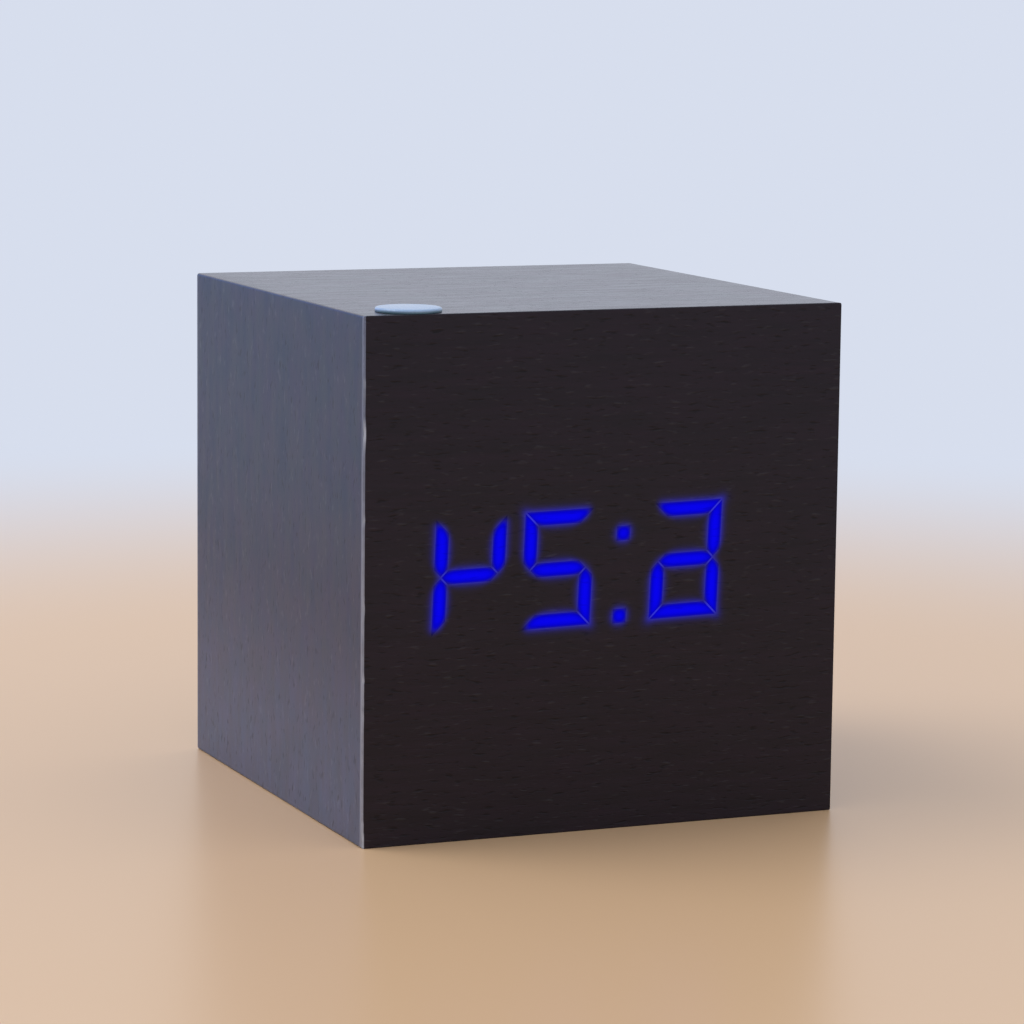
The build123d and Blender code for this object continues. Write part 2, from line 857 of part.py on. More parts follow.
def make_board_parts():
    """Chips, coin cell, sounder, microphone and the small parts on the boards."""
    controller = chip(
        controller_edge - main_half, main_high_z - controller_drop, controller_width,
        controller_length, controller_height, controller_pins, main_front_y, -1)
    driver = chip(
        driver_edge - display_board_width / 2, 0, driver_width, driver_length, driver_height,
        driver_pins, display_back_y, 1)
    driver = [on_display(piece) for piece in driver]
    parts["controller_chip"] = group(controller[:1])
    parts["display_driver_chip"] = group(driver[:1])
    parts["chip_pins"] = group(controller[1:] + driver[1:])

    holder_x = main_half - holder_edge
    holder_z = main_high_z - holder_drop
    holder_y = main_front_y - holder_height
    pocket_radius = coin_radius + coin_gap
    holder_radius = pocket_radius + holder_wall
    holder = rod_y(holder_radius, holder_y, main_front_y, holder_x, holder_z)
    pocket_floor_y = main_front_y - holder_floor
    holder = holder - rod_y(pocket_radius, holder_y - cut_over, pocket_floor_y, holder_x, holder_z)
    holder = holder - span_box(
        holder_x - holder_mouth / 2, holder_x + holder_mouth / 2, holder_y - cut_over,
        pocket_floor_y, holder_z, holder_z + holder_radius + cut_over)
    parts["coin_cell_holder"] = holder
    rim_y = pocket_floor_y - coin_cap_thickness
    coin = rod_y(coin_radius, pocket_floor_y - coin_thickness, rim_y, holder_x, holder_z)
    coin = coin + rod_y(coin_radius - coin_rim, rim_y, pocket_floor_y, holder_x, holder_z)
    parts["coin_cell"] = coin

    buzzer_x = main_half - buzzer_edge
    buzzer_z = main_low_z + buzzer_rise
    face_y = main_front_y - buzzer_height
    buzzer = rod_y(buzzer_radius, face_y, main_front_y, buzzer_x, buzzer_z)
    parts["buzzer"] = buzzer - rod_y(
        buzzer_port_radius, face_y - cut_over, face_y + buzzer_port_depth, buzzer_x, buzzer_z)

    microphone_z = main_low_z + microphone_rise
    face_y = main_front_y - microphone_height
    microphone = rod_y(microphone_radius, face_y, main_front_y, microphone_x, microphone_z)
    parts["microphone"] = microphone - rod_y(
        microphone_face_radius, face_y - cut_over, face_y + microphone_face_depth,
        microphone_x, microphone_z)

    can_z = main_low_z + can_rise
    can = rod_y(can_radius, main_front_y - can_height, main_front_y, can_x, can_z)
    groove_y = main_front_y - can_groove_up
    ring = rod_y(can_radius + cut_over, groove_y - can_groove_height, groove_y, can_x, can_z)
    ring = ring - rod_y(can_radius - can_groove, groove_y - can_groove_height, groove_y, can_x, can_z)
    parts["capacitor"] = can - ring

    crystal = Cylinder(crystal_radius, crystal_length)
    crystal_place = Pos(
        crystal_edge - main_half, main_front_y - crystal_radius, main_high_z - crystal_drop)
    parts["clock_crystal"] = crystal_place * crystal
    pieces = []
    for index in range(small_part_count):
        u = display_board_width / 2 - small_part_edge
        v = (index - (small_part_count - 1) / 2) * small_part_pitch
        pieces.append(on_display(span_box(
            u - small_part_length / 2, u + small_part_length / 2,
            display_back_y, display_back_y + small_part_height,
            v - small_part_width / 2, v + small_part_width / 2)))
    parts["small_parts"] = group(pieces)


def make_tray():
    """Battery tray: a box open downwards, seated on the base board by its flange."""
    shell = span_box(-tray_outer_x, tray_outer_x, -tray_outer_y, tray_outer_y, tray_sink, tray_top_z)
    flange_x = tray_outer_x + tray_flange
    flange_y = tray_outer_y + tray_flange
    shell = shell + span_box(-flange_x, flange_x, -flange_y, flange_y, floor_z, tray_flange_top_z)
    shell = shell - span_box(
        -tray_inner_x, tray_inner_x, -tray_inner_y, tray_inner_y, tray_sink - cut_over,
        tray_ceiling_z)
    ledge_low = door_top_z + door_ledge_gap
    ledge_high = ledge_low + door_ledge_height
    tongue_room = tongue_width / 2 + tongue_slot
    ledge_x = tray_inner_x - door_ledge_width
    for low, high in ((-tray_inner_y, -tongue_room), (tongue_room, tray_inner_y)):
        shell = shell + span_box(ledge_x, tray_inner_x, low, high, ledge_low, ledge_high)
    tab_room = door_tab_width / 2 + door_slot_side
    inner_edge = door_tab_y - tab_room
    outer_edge = door_tab_y + tab_room
    stretches = (
        (-tray_inner_y, -outer_edge), (-inner_edge, inner_edge), (outer_edge, tray_inner_y))
    for low, high in stretches:
        shell = shell + span_box(-tray_inner_x, -ledge_x, low, high, ledge_low, ledge_high)
    slot_low = tab_bottom_z() - door_tab_gap
    for side in (-1, 1):
        shell = shell - span_box(
            -tray_inner_x - door_slot_depth, -tray_inner_x + cut_over,
            side * door_tab_y - tab_room, side * door_tab_y + tab_room,
            slot_low, slot_low + door_slot_height)
    bottom_z = cell_z + rib_rise
    for x in (-rib_station, rib_station):
        rib = span_box(
            x - rib_thickness / 2, x + rib_thickness / 2, -tray_inner_y, tray_inner_y,
            bottom_z, tray_ceiling_z)
        for y in cell_rows():
            rib = rib - rod_x(cell_radius + rib_relief, x - rib_thickness, x + rib_thickness, y, cell_z)
        shell = shell + rib
    for x, y in terminal_places():
        half = tab_width / 2 + pilot_gap
        low_x, high_x = contact_faces(x)
        shell = shell - span_box(
            low_x - pilot_gap, high_x + pilot_gap, y - half, y + half,
            tray_ceiling_z - cut_over, tray_top_z + cut_over)
    parts["battery_tray"] = in_bay(shell)


def cell_rows():
    """Y of each cell in the tray's frame, front to rear."""
    return [(index - (cell_count - 1) / 2) * cell_pitch for index in range(cell_count)]


def tab_bottom_z():
    """Underside of the door's tabs: level with the top of the door, less the tab."""
    return door_top_z - door_tab_thickness


def terminal_places():
    """The two contacts that take a lead: the first cell's foot and the last cell's cap."""
    rows = cell_rows()
    return ((-tray_inner_x, rows[0]), (tray_inner_x, rows[-1]))


def contact_faces(end_x):
    """Low and high X of a contact plate that lies against an end wall."""
    inward = -1 if end_x > 0 else 1
    faces = (end_x, end_x + inward * contact_thickness)
    return min(faces), max(faces)


def contact_plate(end_x, y):
    """Plate of one contact against the end wall."""
    low_x, high_x = contact_faces(end_x)
    half = contact_width / 2
    return span_box(
        low_x, high_x, y - half, y + half, cell_z - contact_height / 2, cell_z + contact_height / 2)


def cap_contact(end_x, y):
    """Contact for a cell's cap: a plate with a raised dimple."""
    low_x, high_x = contact_faces(end_x)
    inward = -1 if end_x > 0 else 1
    reach = end_x + inward * (tray_end_room - cell_cap_height / 2)
    edge = min(low_x, reach), max(high_x, reach)
    dimple = rod_x(contact_dimple_radius, *edge, y, cell_z)
    return contact_plate(end_x, y) + dimple


def foot_contact(end_x, y):
    """Contact for a cell's foot: a plate with a sprung leaf bent up from its lower edge."""
    inward = -1 if end_x > 0 else 1
    low_z = cell_z - contact_height / 2
    tip_x = end_x + inward * leaf_reach
    back_x = end_x + inward * contact_thickness
    free_x = back_x + inward * leaf_free_gap
    top_z = low_z + contact_height - leaf_rise
    outline = [
        (end_x, low_z),
        (back_x, low_z),
        (tip_x + inward * contact_thickness, cell_z),
        (free_x + inward * contact_thickness, top_z),
        (free_x, top_z),
        (tip_x, cell_z),
        (back_x, low_z + leaf_root),
        (end_x, low_z + leaf_root),
    ]
    return contact_plate(end_x, y) + prism_y(outline, y - leaf_width / 2, y + leaf_width / 2)


def solder_tab(end_x, y):
    """Tab that stands up through the tray's roof for a lead."""
    low_x, high_x = contact_faces(end_x)
    return span_box(
        low_x, high_x, y - tab_width / 2, y + tab_width / 2, cell_z, tray_top_z + tab_height)


def link_strip(end_x, y0, y1):
    """Strip that joins two contacts across one end."""
    low_x, high_x = contact_faces(end_x)
    half = link_strip_height / 2
    return span_box(low_x, high_x, y0, y1, cell_z - half, cell_z + half)


def make_battery():
    """Three cells in series, alternately turned, and the contacts at their ends."""
    rows = cell_rows()
    cells = []
    for index, y in enumerate(rows):
        turn = 1 if index % 2 == 0 else -1
        half = cell_length / 2
        foot_x = -turn * half
        shoulder_x = turn * (half - cell_cap_height)
        can = rod_x(cell_radius, min(foot_x, shoulder_x), max(foot_x, shoulder_x), y, cell_z)
        rims = can.edges().filter_by(GeomType.CIRCLE)
        can = chamfer(rims, cell_shoulder)
        edge = sorted((shoulder_x - turn * cell_shoulder, turn * half))
        cells.append(in_bay(can + rod_x(cell_cap_radius, *edge, y, cell_z)))
    parts["battery_cells"] = group(cells)

    left, right = -tray_inner_x, tray_inner_x
    negative = foot_contact(left, rows[0]) + solder_tab(left, rows[0])
    positive = cap_contact(right, rows[-1]) + solder_tab(right, rows[-1])
    left_link = cap_contact(left, rows[1]) + foot_contact(left, rows[2])
    right_link = cap_contact(right, rows[0]) + foot_contact(right, rows[1])
    parts["negative_terminal"] = in_bay(negative)
    parts["positive_terminal"] = in_bay(positive)
    parts["cell_links"] = group([
        in_bay(left_link + link_strip(left, rows[1], rows[2])),
        in_bay(right_link + link_strip(right, rows[0], rows[1])),
    ])


def make_door():
    """Battery door: two tabs at one end, a tongue to press at the other, grips and cell ribs."""
    end_x = tray_inner_x - door_gap
    side_y = tray_inner_y - door_gap
    door = span_box(-end_x, end_x, -side_y, side_y, tray_sink, door_top_z)
    for side in (-1, 1):
        y = side * door_tab_y
        door = door + span_box(
            -end_x - door_tab_reach, -end_x, y - door_tab_width / 2, y + door_tab_width / 2,
            tab_bottom_z(), door_top_z)
        slot_mid = side * (tongue_width + tongue_slot) / 2
        door = door - span_box(
            end_x - tongue_length, end_x + cut_over, slot_mid - tongue_slot / 2,
            slot_mid + tongue_slot / 2, tray_sink - cut_over, door_top_z + cut_over)
    stand_x = end_x - tongue_set_back
    door = door + span_box(
        stand_x - tongue_stand, stand_x, -tongue_width / 2, tongue_width / 2,
        tray_sink, door_top_z + tongue_height)
    for index in range(grip_count):
        x = end_x - tongue_length - grip_from_end - index * grip_pitch
        door = door - span_box(
            x - grip_width / 2, x + grip_width / 2, -grip_length / 2, grip_length / 2,
            tray_sink - cut_over, tray_sink + grip_depth)
    rib_end_x = tray_inner_x - door_rib_set_back
    for y in cell_rows():
        door = door + span_box(
            -rib_end_x, rib_end_x, y - door_rib_width / 2, y + door_rib_width / 2,
            door_top_z, door_top_z + door_rib_height)
    parts["battery_door"] = in_bay(door)


def lead(points):
    """A lead along a route, eight-sided in section."""
    path = routed(points)
    start = Vector(*points[0])
    away = Vector(*points[1]) - start
    section = Plane(origin=start, z_dir=away) * RegularPolygon(lead_radius, lead_sides)
    return sweep(section, path=path)


def make_leads():
    """Socket on the main board and the two leads that come up to it from the tray."""
    face_y = main_front_y - socket_depth
    half_w = socket_width / 2
    half_h = socket_height / 2
    socket = span_box(
        socket_x - half_w, socket_x + half_w, face_y, main_front_y,
        socket_z - half_h, socket_z + half_h)
    pocket = span_box(
        socket_x - half_w + socket_wall, socket_x + half_w - socket_wall,
        face_y - cut_over, face_y + socket_pocket,
        socket_z - half_h + socket_wall, socket_z + half_h - socket_wall)
    parts["lead_socket"] = socket - pocket

    (neg_x, neg_y), (pos_x, pos_y) = terminal_places()
    tab_z = tray_top_z + tab_height
    top_z = tab_z + lead_rise
    neg_mid = neg_x + contact_thickness / 2
    pos_mid = pos_x - contact_thickness / 2
    end_y = face_y + socket_pocket
    black_x = socket_x - lead_pitch / 2
    red_x = socket_x + lead_pitch / 2
    parts["black_lead"] = lead([
        (neg_mid, tray_y + neg_y, tab_z), (neg_mid, tray_y + neg_y, top_z),
        *lead_places(black_route_shares),
        (black_x, end_y - lead_run_in, socket_z), (black_x, end_y, socket_z),
    ])
    parts["red_lead"] = lead([
        (pos_mid, tray_y + pos_y, tab_z), (pos_mid, tray_y + pos_y - lead_lean, top_z),
        *lead_places(red_route_shares),
        (red_x, end_y - lead_run_in, socket_z), (red_x, end_y, socket_z),
    ])


def lead_places(route_shares):
    """Places of a lead: shares of the half width, the half depth and the rise to the socket."""
    rise = socket_z - tray_top_z
    return [
        (sx * half_width, sy * rear_y, tray_top_z + sz * rise) for sx, sy, sz in route_shares
    ]


def make_dot():
    """Thin round dot on the top, by the front edge."""
    place = Pos(dot_side - half_width, front_y + dot_front, case_height + dot_thickness / 2)
    dot = place * Cylinder(dot_radius, dot_thickness)
    rim = dot.edges().filter_by(GeomType.CIRCLE).sort_by(Axis.Z)[-1]
    parts["tap_dot"] = chamfer(rim, dot_ease)


make_sleeve()
make_front()
make_read_out()
make_display_board()
make_ribbon()
make_main_board()
make_rear()
make_buttons()
make_jack()
make_sensor()
make_board_parts()
make_tray()
make_battery()
make_door()
make_leads()
make_dot()

for node, shape in parts.items():
    export_step(shape, f"parts/{node}.step")
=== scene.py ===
"""Finish of the cube desk clock: the pieces that show, the surface of every node, and the stage."""
import json
import math

import bpy
import numpy as np
from bpy.props import FloatProperty, FloatVectorProperty, IntProperty, PointerProperty
from mathutils import Matrix, Vector

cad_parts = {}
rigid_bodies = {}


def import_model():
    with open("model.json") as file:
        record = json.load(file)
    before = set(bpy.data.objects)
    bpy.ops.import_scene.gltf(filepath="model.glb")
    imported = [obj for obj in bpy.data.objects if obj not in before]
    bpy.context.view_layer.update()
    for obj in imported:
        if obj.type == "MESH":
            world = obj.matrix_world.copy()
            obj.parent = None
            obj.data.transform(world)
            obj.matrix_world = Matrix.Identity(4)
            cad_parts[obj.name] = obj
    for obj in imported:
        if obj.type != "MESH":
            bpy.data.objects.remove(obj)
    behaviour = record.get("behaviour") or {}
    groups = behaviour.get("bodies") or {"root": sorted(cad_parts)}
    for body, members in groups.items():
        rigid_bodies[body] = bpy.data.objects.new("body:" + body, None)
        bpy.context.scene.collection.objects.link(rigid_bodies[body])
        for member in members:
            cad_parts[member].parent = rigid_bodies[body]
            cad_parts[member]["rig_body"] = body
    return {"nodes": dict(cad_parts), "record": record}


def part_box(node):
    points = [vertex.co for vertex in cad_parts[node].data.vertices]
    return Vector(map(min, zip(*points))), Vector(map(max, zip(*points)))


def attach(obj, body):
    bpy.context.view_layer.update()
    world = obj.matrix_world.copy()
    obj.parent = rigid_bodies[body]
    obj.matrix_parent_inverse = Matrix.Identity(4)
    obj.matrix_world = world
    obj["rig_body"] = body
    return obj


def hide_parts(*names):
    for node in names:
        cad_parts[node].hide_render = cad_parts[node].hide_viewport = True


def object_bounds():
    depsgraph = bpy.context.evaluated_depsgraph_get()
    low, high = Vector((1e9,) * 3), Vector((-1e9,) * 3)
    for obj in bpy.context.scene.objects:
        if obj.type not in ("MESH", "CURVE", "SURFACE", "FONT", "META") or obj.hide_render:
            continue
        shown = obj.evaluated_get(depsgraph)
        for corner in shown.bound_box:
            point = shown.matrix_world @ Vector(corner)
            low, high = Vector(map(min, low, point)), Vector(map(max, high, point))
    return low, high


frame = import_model()
CAD_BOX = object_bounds()
CASE_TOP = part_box("top_panel")[1][2]
NODES = frame["nodes"]

bl_info = {
    "name": "Cube desk clock finish",
    "version": (1, 0, 0),
    "blender": (4, 5, 0),
    "location": "3D View > Sidebar > Clock",
    "description": "Builds the outer pieces, finishes and stage of a wood-grain cube clock",
    "category": "Object",
}

MM = 0.001
MICRON = 0.000001


def size(name, description, millimetres, low=0.0):
    """A length that a user may change, given in millimetres and held in metres."""
    return FloatProperty(
        name=name, description=description, default=millimetres * MM, min=low * MM,
        unit="LENGTH", subtype="DISTANCE", precision=5,
    )


def tone(name, description, colour):
    """A linear colour that a user may change."""
    return FloatVectorProperty(
        name=name, description=description, default=colour, subtype="COLOR", size=3,
        min=0.0, max=1.0,
    )


class ClockSizes(bpy.types.PropertyGroup):
    """Sizes of the pieces that stand for the modelled ones."""

    edge_round: size("Edge rounding", "Radius of the long edges of the sleeve", 0.3)
    end_round: size("End rounding", "Radius of the sleeve's rear edge", 0.2)
    seam_ease: size("Seam ease", "Chamfer of the sleeve where the film meets it", 0.04)
    film_round: size("Film rounding", "Radius of the front film's rim", 0.12)
    film_corner: size("Film corner", "Radius of the film's corners within its rim", 0.10)
    film_cut: size("Film cut", "Width of the slanting cut along the film's left edge", 0.22)
    film_sink: size("Film sink", "How far the film lies behind the lit shapes", 0.02)
    film_pitch: size("Film pitch", "Distance between film points around the read-out", 0.21, 0.1)
    film_plain_pitch: size("Plain pitch", "Distance between film points elsewhere", 0.45, 0.1)
    film_margin: size("Read-out margin", "How far the fine film reaches past the lit shapes", 2.0)
    light_spread: size("Light spread", "Distance over which light fades in the film", 0.22, 0.01)
    light_inset: size("Light inset", "How far the light stays within a shape's free edges", 0.125)
    tip_inset: size("Tip inset", "How far the light stays within a shape's free tips", 0.42)
    seam_reach: size("Seam reach", "Width of the dimmer rim beside a lit neighbour", 0.11, 0.01)
    lit_apart: size("Lit neighbours", "Distance within which two lit shapes are joined", 0.4)
    lit_long: size("Long shape", "Half length above which a lit shape has tips", 1.5)
    lit_pitch: size("Lit pitch", "Distance between points round a lit shape", 0.25, 0.05)
    nick_depth: size("Nick depth", "Depth of the dents in the front left edge", 0.09)
    nick_reach: size("Nick reach", "How far from the edge a dent still shows", 0.8, 0.01)
    dot_round: size("Dot rounding", "Radius of the rim of the tap dot", 0.28)
    dot_ease: size("Dot ease", "Chamfer at the foot of the tap dot", 0.05)
    button_round: size("Button rounding", "Radius of the rim of a button", 0.45)
    button_dish: size("Button dish", "Depth of the hollow in a button", 0.18)
    flange_reach: size("Flange reach", "How far a button's flange stands past its cap", 0.85)
    flange_thick: size("Flange thickness", "Thickness of a button's flange", 0.8)
    flange_ease: size("Flange ease", "Chamfer of a button's flange", 0.1)
    cell_cap: size("Cell cap", "Radius of a cell's raised cap", 1.9)
    cell_rise: size("Cell rise", "Height of a cell's raised cap", 0.9)
    cell_lip: size("Cell lip", "Radius of the shoulders of a cell", 0.6)
    cell_foot: size("Cell foot", "Depth of the hollow in a cell's foot", 0.25)
    cap_ease: size("Cap ease", "Chamfer of a cell's cap", 0.2)
    cap_ring: size("Cap ring", "Width of the level ring round a cell's cap", 0.25)
    jacket_step: size("Jacket step", "Thickness of the jacket on a cell", 0.06)
    jacket_ends: size("Jacket ends", "Bare can between a shoulder and the jacket", 0.2)
    jacket_slope: size("Jacket slope", "Length of the slope at each end of the jacket", 0.1)


class ClockColours(bpy.types.PropertyGroup):
    """Linear colours of the main finishes."""

    front: tone("Front film", "Film over the read-out", (0.0092, 0.0058, 0.0100))
    # Painted cool reflection: the blue of the side foil is a bluish sheen painted into the black
    # foil
    side: tone("Side foil", "Foil on the upper half of the two sides", (0.0005, 0.0115, 0.0450))
    # Painted reflection of the floor: the side foil is paler near the base
    side_floor_reflection: tone("Low side foil", "Foil on the sides near the base", (0.0550, 0.0810, 0.1450))
    # Painted sheen: the top foil is a paler copy of the black foil, standing in for the pale sheen
    # that the top mirrors; the base board takes the same colour
    top: tone("Top foil", "Foil on the top and the base", (0.0420, 0.0310, 0.0330))
    rear: tone("Rear foil", "Foil on the rear panel", (0.0170, 0.0160, 0.0190))
    # Painted highlight: the film's cut edge is pale and bluish partly as a cut edge and partly as a
    # painted highlight
    edge: tone("Film edge", "Cut edge of the film, high up", (0.1800, 0.2050, 0.3000))
    # Painted reflection of the floor: the cut edge is paler still near the base
    edge_floor_reflection: tone("Low film edge", "Cut edge of the film, near the base", (0.3200, 0.3400, 0.4300))
    nick: tone("Nick", "Bare film in the dents of its edge", (0.4600, 0.5000, 0.6000))
    board: tone("Fibreboard", "Raw board under the foil", (0.3000, 0.2000, 0.1150))
    lit: tone("Lit shapes", "Light through the film", (0.0025, 0.0010, 0.9300))
    glow: tone("Glow", "Light that spreads in the film beside them", (0.0200, 0.0240, 0.9300))
    seen: tone("Dim film", "Film as it is seen where a lit shape is weak", (0.0190, 0.0160, 0.0180))
    dot: tone("Tap dot", "Face of the dot on the top", (0.3600, 0.5200, 0.7800))
    # Painted shade: the dark teal of the dot's rim stands in for the shade on its side
    dot_rim_shade: tone("Dot side", "Rim of the dot on the top", (0.0400, 0.1050, 0.1350))


class ClockStage(bpy.types.PropertyGroup):
    """Camera, floor and light."""

    camera_place: FloatVectorProperty(
        name="Camera", description="Place of the camera", size=3, unit="LENGTH",
        subtype="TRANSLATION", default=(-0.1828, -0.4362, 0.1020))
    camera_turn: FloatVectorProperty(
        name="Camera turn", description="Turn to the right, lift, and roll of the camera",
        size=3, subtype="EULER", unit="ROTATION",
        default=(math.radians(22.823), math.radians(-8.257), math.radians(0.622)))
    camera_lens: FloatProperty(
        name="Lens", description="Focal length of the camera", default=136.82, min=1.0,
        unit="CAMERA")
    camera_sensor: FloatProperty(
        name="Sensor", description="Width of the camera's sensor", default=36.0, min=1.0,
        unit="CAMERA")
    floor: tone("Floor", "Plain pale floor", (0.880, 0.590, 0.350))
    backdrop: tone("Backdrop", "Plain pale background", (0.680, 0.730, 0.850))
    fill: tone("Fill light", "Light from all round", (0.600, 0.610, 0.640))
    floor_reach: size("Floor reach", "Where the floor starts to fade into the backdrop", 110.0)
    floor_fade: size("Floor fade", "Where the floor has become the backdrop", 330.0)
    floor_round: IntProperty(
        name="Floor steps", description="Steps round the floor", default=96, min=12)
    key_power: FloatProperty(
        name="Key power", description="Power of the large soft lamp", default=3.2, min=0.0,
        unit="POWER")
    key_size: size("Key size", "Width of the large soft lamp", 700.0)
    key_place: FloatVectorProperty(
        name="Key place", description="Place of the large soft lamp", size=3, unit="LENGTH",
        subtype="TRANSLATION", default=(-0.55, 0.25, 0.85))
    key: tone("Key light", "Light of the large soft lamp", (1.000, 1.000, 1.000))
    side_power: FloatProperty(
        name="Side power", description="Power of the cool soft lamp that the left side mirrors",
        default=3.8, min=0.0, unit="POWER")
    side_size: size("Side lamp size", "Width of the cool soft lamp", 1700.0)
    side_place: FloatVectorProperty(
        name="Side place", description="Place of the cool soft lamp", size=3, unit="LENGTH",
        subtype="TRANSLATION", default=(-0.75, 1.45, 0.30))
    side: tone("Side light", "Light of the cool soft lamp", (0.020, 0.200, 1.000))


def grid_faces(rows, columns, closed=False):
    """Quads of a grid: each joins a point to its next one along both parameters."""
    last = columns if closed else columns - 1
    row, column = np.meshgrid(np.arange(rows - 1), np.arange(last), indexing="ij")
    near = row * columns
    far = near + columns
    after = (column + 1) % columns
    return np.stack([near + column, near + after, far + after, far + column], -1).reshape(-1, 4)


def signed_volume(points, faces):
    """Six times the volume: the sum of the corner products of each face, fanned from a corner."""
    total = 0.0
    for face in faces:
        first = points[face[:, 0]]
        for index in range(1, face.shape[1] - 1):
            second, third = points[face[:, index]], points[face[:, index + 1]]
            total += float(np.sum(first * np.cross(second, third)))
    return total


def build(name, points, faces, sharp=math.radians(40)):
    """Put points and groups of faces into a mesh object whose faces point outwards."""
    if signed_volume(points, faces) < 0:
        faces = [face[:, ::-1] for face in faces]
    mesh = bpy.data.meshes.new(name)
    mesh.from_pydata(points.tolist(), [], [row.tolist() for face in faces for row in face])
    mesh.polygons.foreach_set("use_smooth", np.ones(len(mesh.polygons), bool))
    mesh.set_sharp_from_angle(angle=sharp)
    mesh.update()
    piece = bpy.data.objects.new(name, mesh)
    bpy.context.scene.collection.objects.link(piece)
    return piece


def settle(piece, slot, finish, *nodes):
    """Give a piece its finish, and let it stand for modelled nodes, on the body they ride on."""
    piece.data.materials.append(finish)
    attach(piece, NODES[nodes[0]]["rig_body"])
    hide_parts(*nodes)
    return piece


def corners(node):
    """Lowest and highest corner of a node as arrays."""
    low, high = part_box(node)
    return np.array(low), np.array(high)


def arc(centre, radius, start, stop, steps):
    """Points on a circle from one angle to another: centre plus radius times cosine and sine."""
    angle = np.radians(np.linspace(start, stop, steps + 1))
    return np.array(centre) + radius * np.stack([np.cos(angle), np.sin(angle)], -1)


def revolved(name, profile, centre, axis, steps=64):
    """Surface of revolution: the point at (along, radius) goes round the axis through centre.

    The first and last profile points lie on the axis, and each is one shared pole.
    """
    along, radius = profile[:, 0], profile[:, 1]
    turn = np.linspace(0, 2 * np.pi, steps, endpoint=False)
    first, second = [index for index in range(3) if index != axis]
    ring = np.zeros((len(profile) - 2, steps, 3))
    ring[..., axis] = along[1:-1, None]
    ring[..., first] = radius[1:-1, None] * np.cos(turn)
    ring[..., second] = radius[1:-1, None] * np.sin(turn)
    poles = np.zeros((2, 3))
    poles[:, axis] = along[[0, -1]]
    points = np.concatenate([ring.reshape(-1, 3), poles]) + np.array(centre)
    count = len(ring) * steps
    here = np.arange(steps)
    after = (here + 1) % steps
    start = np.stack([np.full(steps, count), after, here], -1)
    base = count - steps
    stop = np.stack([np.full(steps, count + 1), base + here, base + after], -1)
    return build(name, points, [grid_faces(len(ring), steps, closed=True), start, stop])


def spaced(marks, pitches):
    """Rising values through the marks, with each stretch cut into steps of about its own pitch."""
    runs = []
    for low, high, pitch in zip(marks[:-1], marks[1:], pitches):
        count = max(1, int(round((high - low) / pitch)))
        runs.append(np.linspace(low, high, count + 1)[:-1])
    return np.append(np.concatenate(runs), marks[-1])


def edge_distance(points, outline):
    """Distance from each point to each edge of an outline.

    Each point is dropped on the line of an edge, and the foot is kept between the edge's ends.
    """
    distances = []
    for start, stop in zip(outline, np.roll(outline, -1, axis=0)):
        run = stop - start
        offset = points - start
        along = np.clip(offset @ run / (run @ run), 0, 1)
        distances.append(np.linalg.norm(offset - along[:, None] * run, axis=1))
    return np.stack(distances, -1)


# How far behind the foremost point still counts as the front, and decimals of a millimetre to
# which points are taken to be the same
FRONT_SLACK = 0.01 * MM
PLACE_DIGITS = 4


def lit_outlines():
    """Corners of each lit shape in X and Z, once round it.

    Its front edges are those that only one triangle uses, and each is walked to the next.
    """
    mesh = NODES["lit_segments"].data
    points = np.zeros(len(mesh.vertices) * 3)
    mesh.vertices.foreach_get("co", points)
    points = points.reshape(-1, 3)
    mesh.calc_loop_triangles()
    triangles = np.zeros(len(mesh.loop_triangles) * 3, np.int32)
    mesh.loop_triangles.foreach_get("vertices", triangles)
    triangles = triangles.reshape(-1, 3)
    front = points[:, 1].min() + FRONT_SLACK
    triangles = triangles[np.all(points[triangles][..., 1] < front, axis=1)]
    flat = np.round(points[:, [0, 2]] / MM, PLACE_DIGITS)
    places, index = np.unique(flat, axis=0, return_inverse=True)
    triangles = index.reshape(-1)[triangles]
    pairs = np.concatenate([triangles[:, [0, 1]], triangles[:, [1, 2]], triangles[:, [2, 0]]])
    pairs = np.sort(pairs, 1)
    pairs, uses = np.unique(pairs, axis=0, return_counts=True)
    beside = {}
    for first, second in pairs[uses == 1].tolist():
        beside.setdefault(first, []).append(second)
        beside.setdefault(second, []).append(first)
    outlines = []
    while beside:
        walk = [min(beside)]
        onward = beside.pop(walk[0])
        while onward:
            walk.append(onward[0])
            onward = [place for place in beside.pop(walk[-1]) if place in beside]
        outline = places[walk] * MM
        after = np.roll(outline, -1, axis=0)
        area = np.sum(outline[:, 0] * after[:, 1] - outline[:, 1] * after[:, 0])
        outlines.append(outline if area > 0 else outline[::-1])
    return outlines


def free_edges(outline, others, sizes):
    """Which edges of an outline have no lit neighbour beside their middle."""
    middle = (outline + np.roll(outline, -1, axis=0)) / 2
    nearest = np.min([edge_distance(middle, other).min(-1) for other in others], axis=0)
    return nearest > sizes.lit_apart


def tip_depths(points, outline, free, sizes):
    """Distance to go, along a long shape, to just within each of its tips that stands free."""
    middle, way, half = spine(outline, 0.0)
    along = (outline - middle) @ way
    depths = []
    for sign in (-1, 1):
        tip = int(np.argmax(sign * along))
        if half > sizes.lit_long and free[tip] and free[tip - 1]:
            depths.append(half - sizes.tip_inset - sign * ((points - middle) @ way))
    return depths


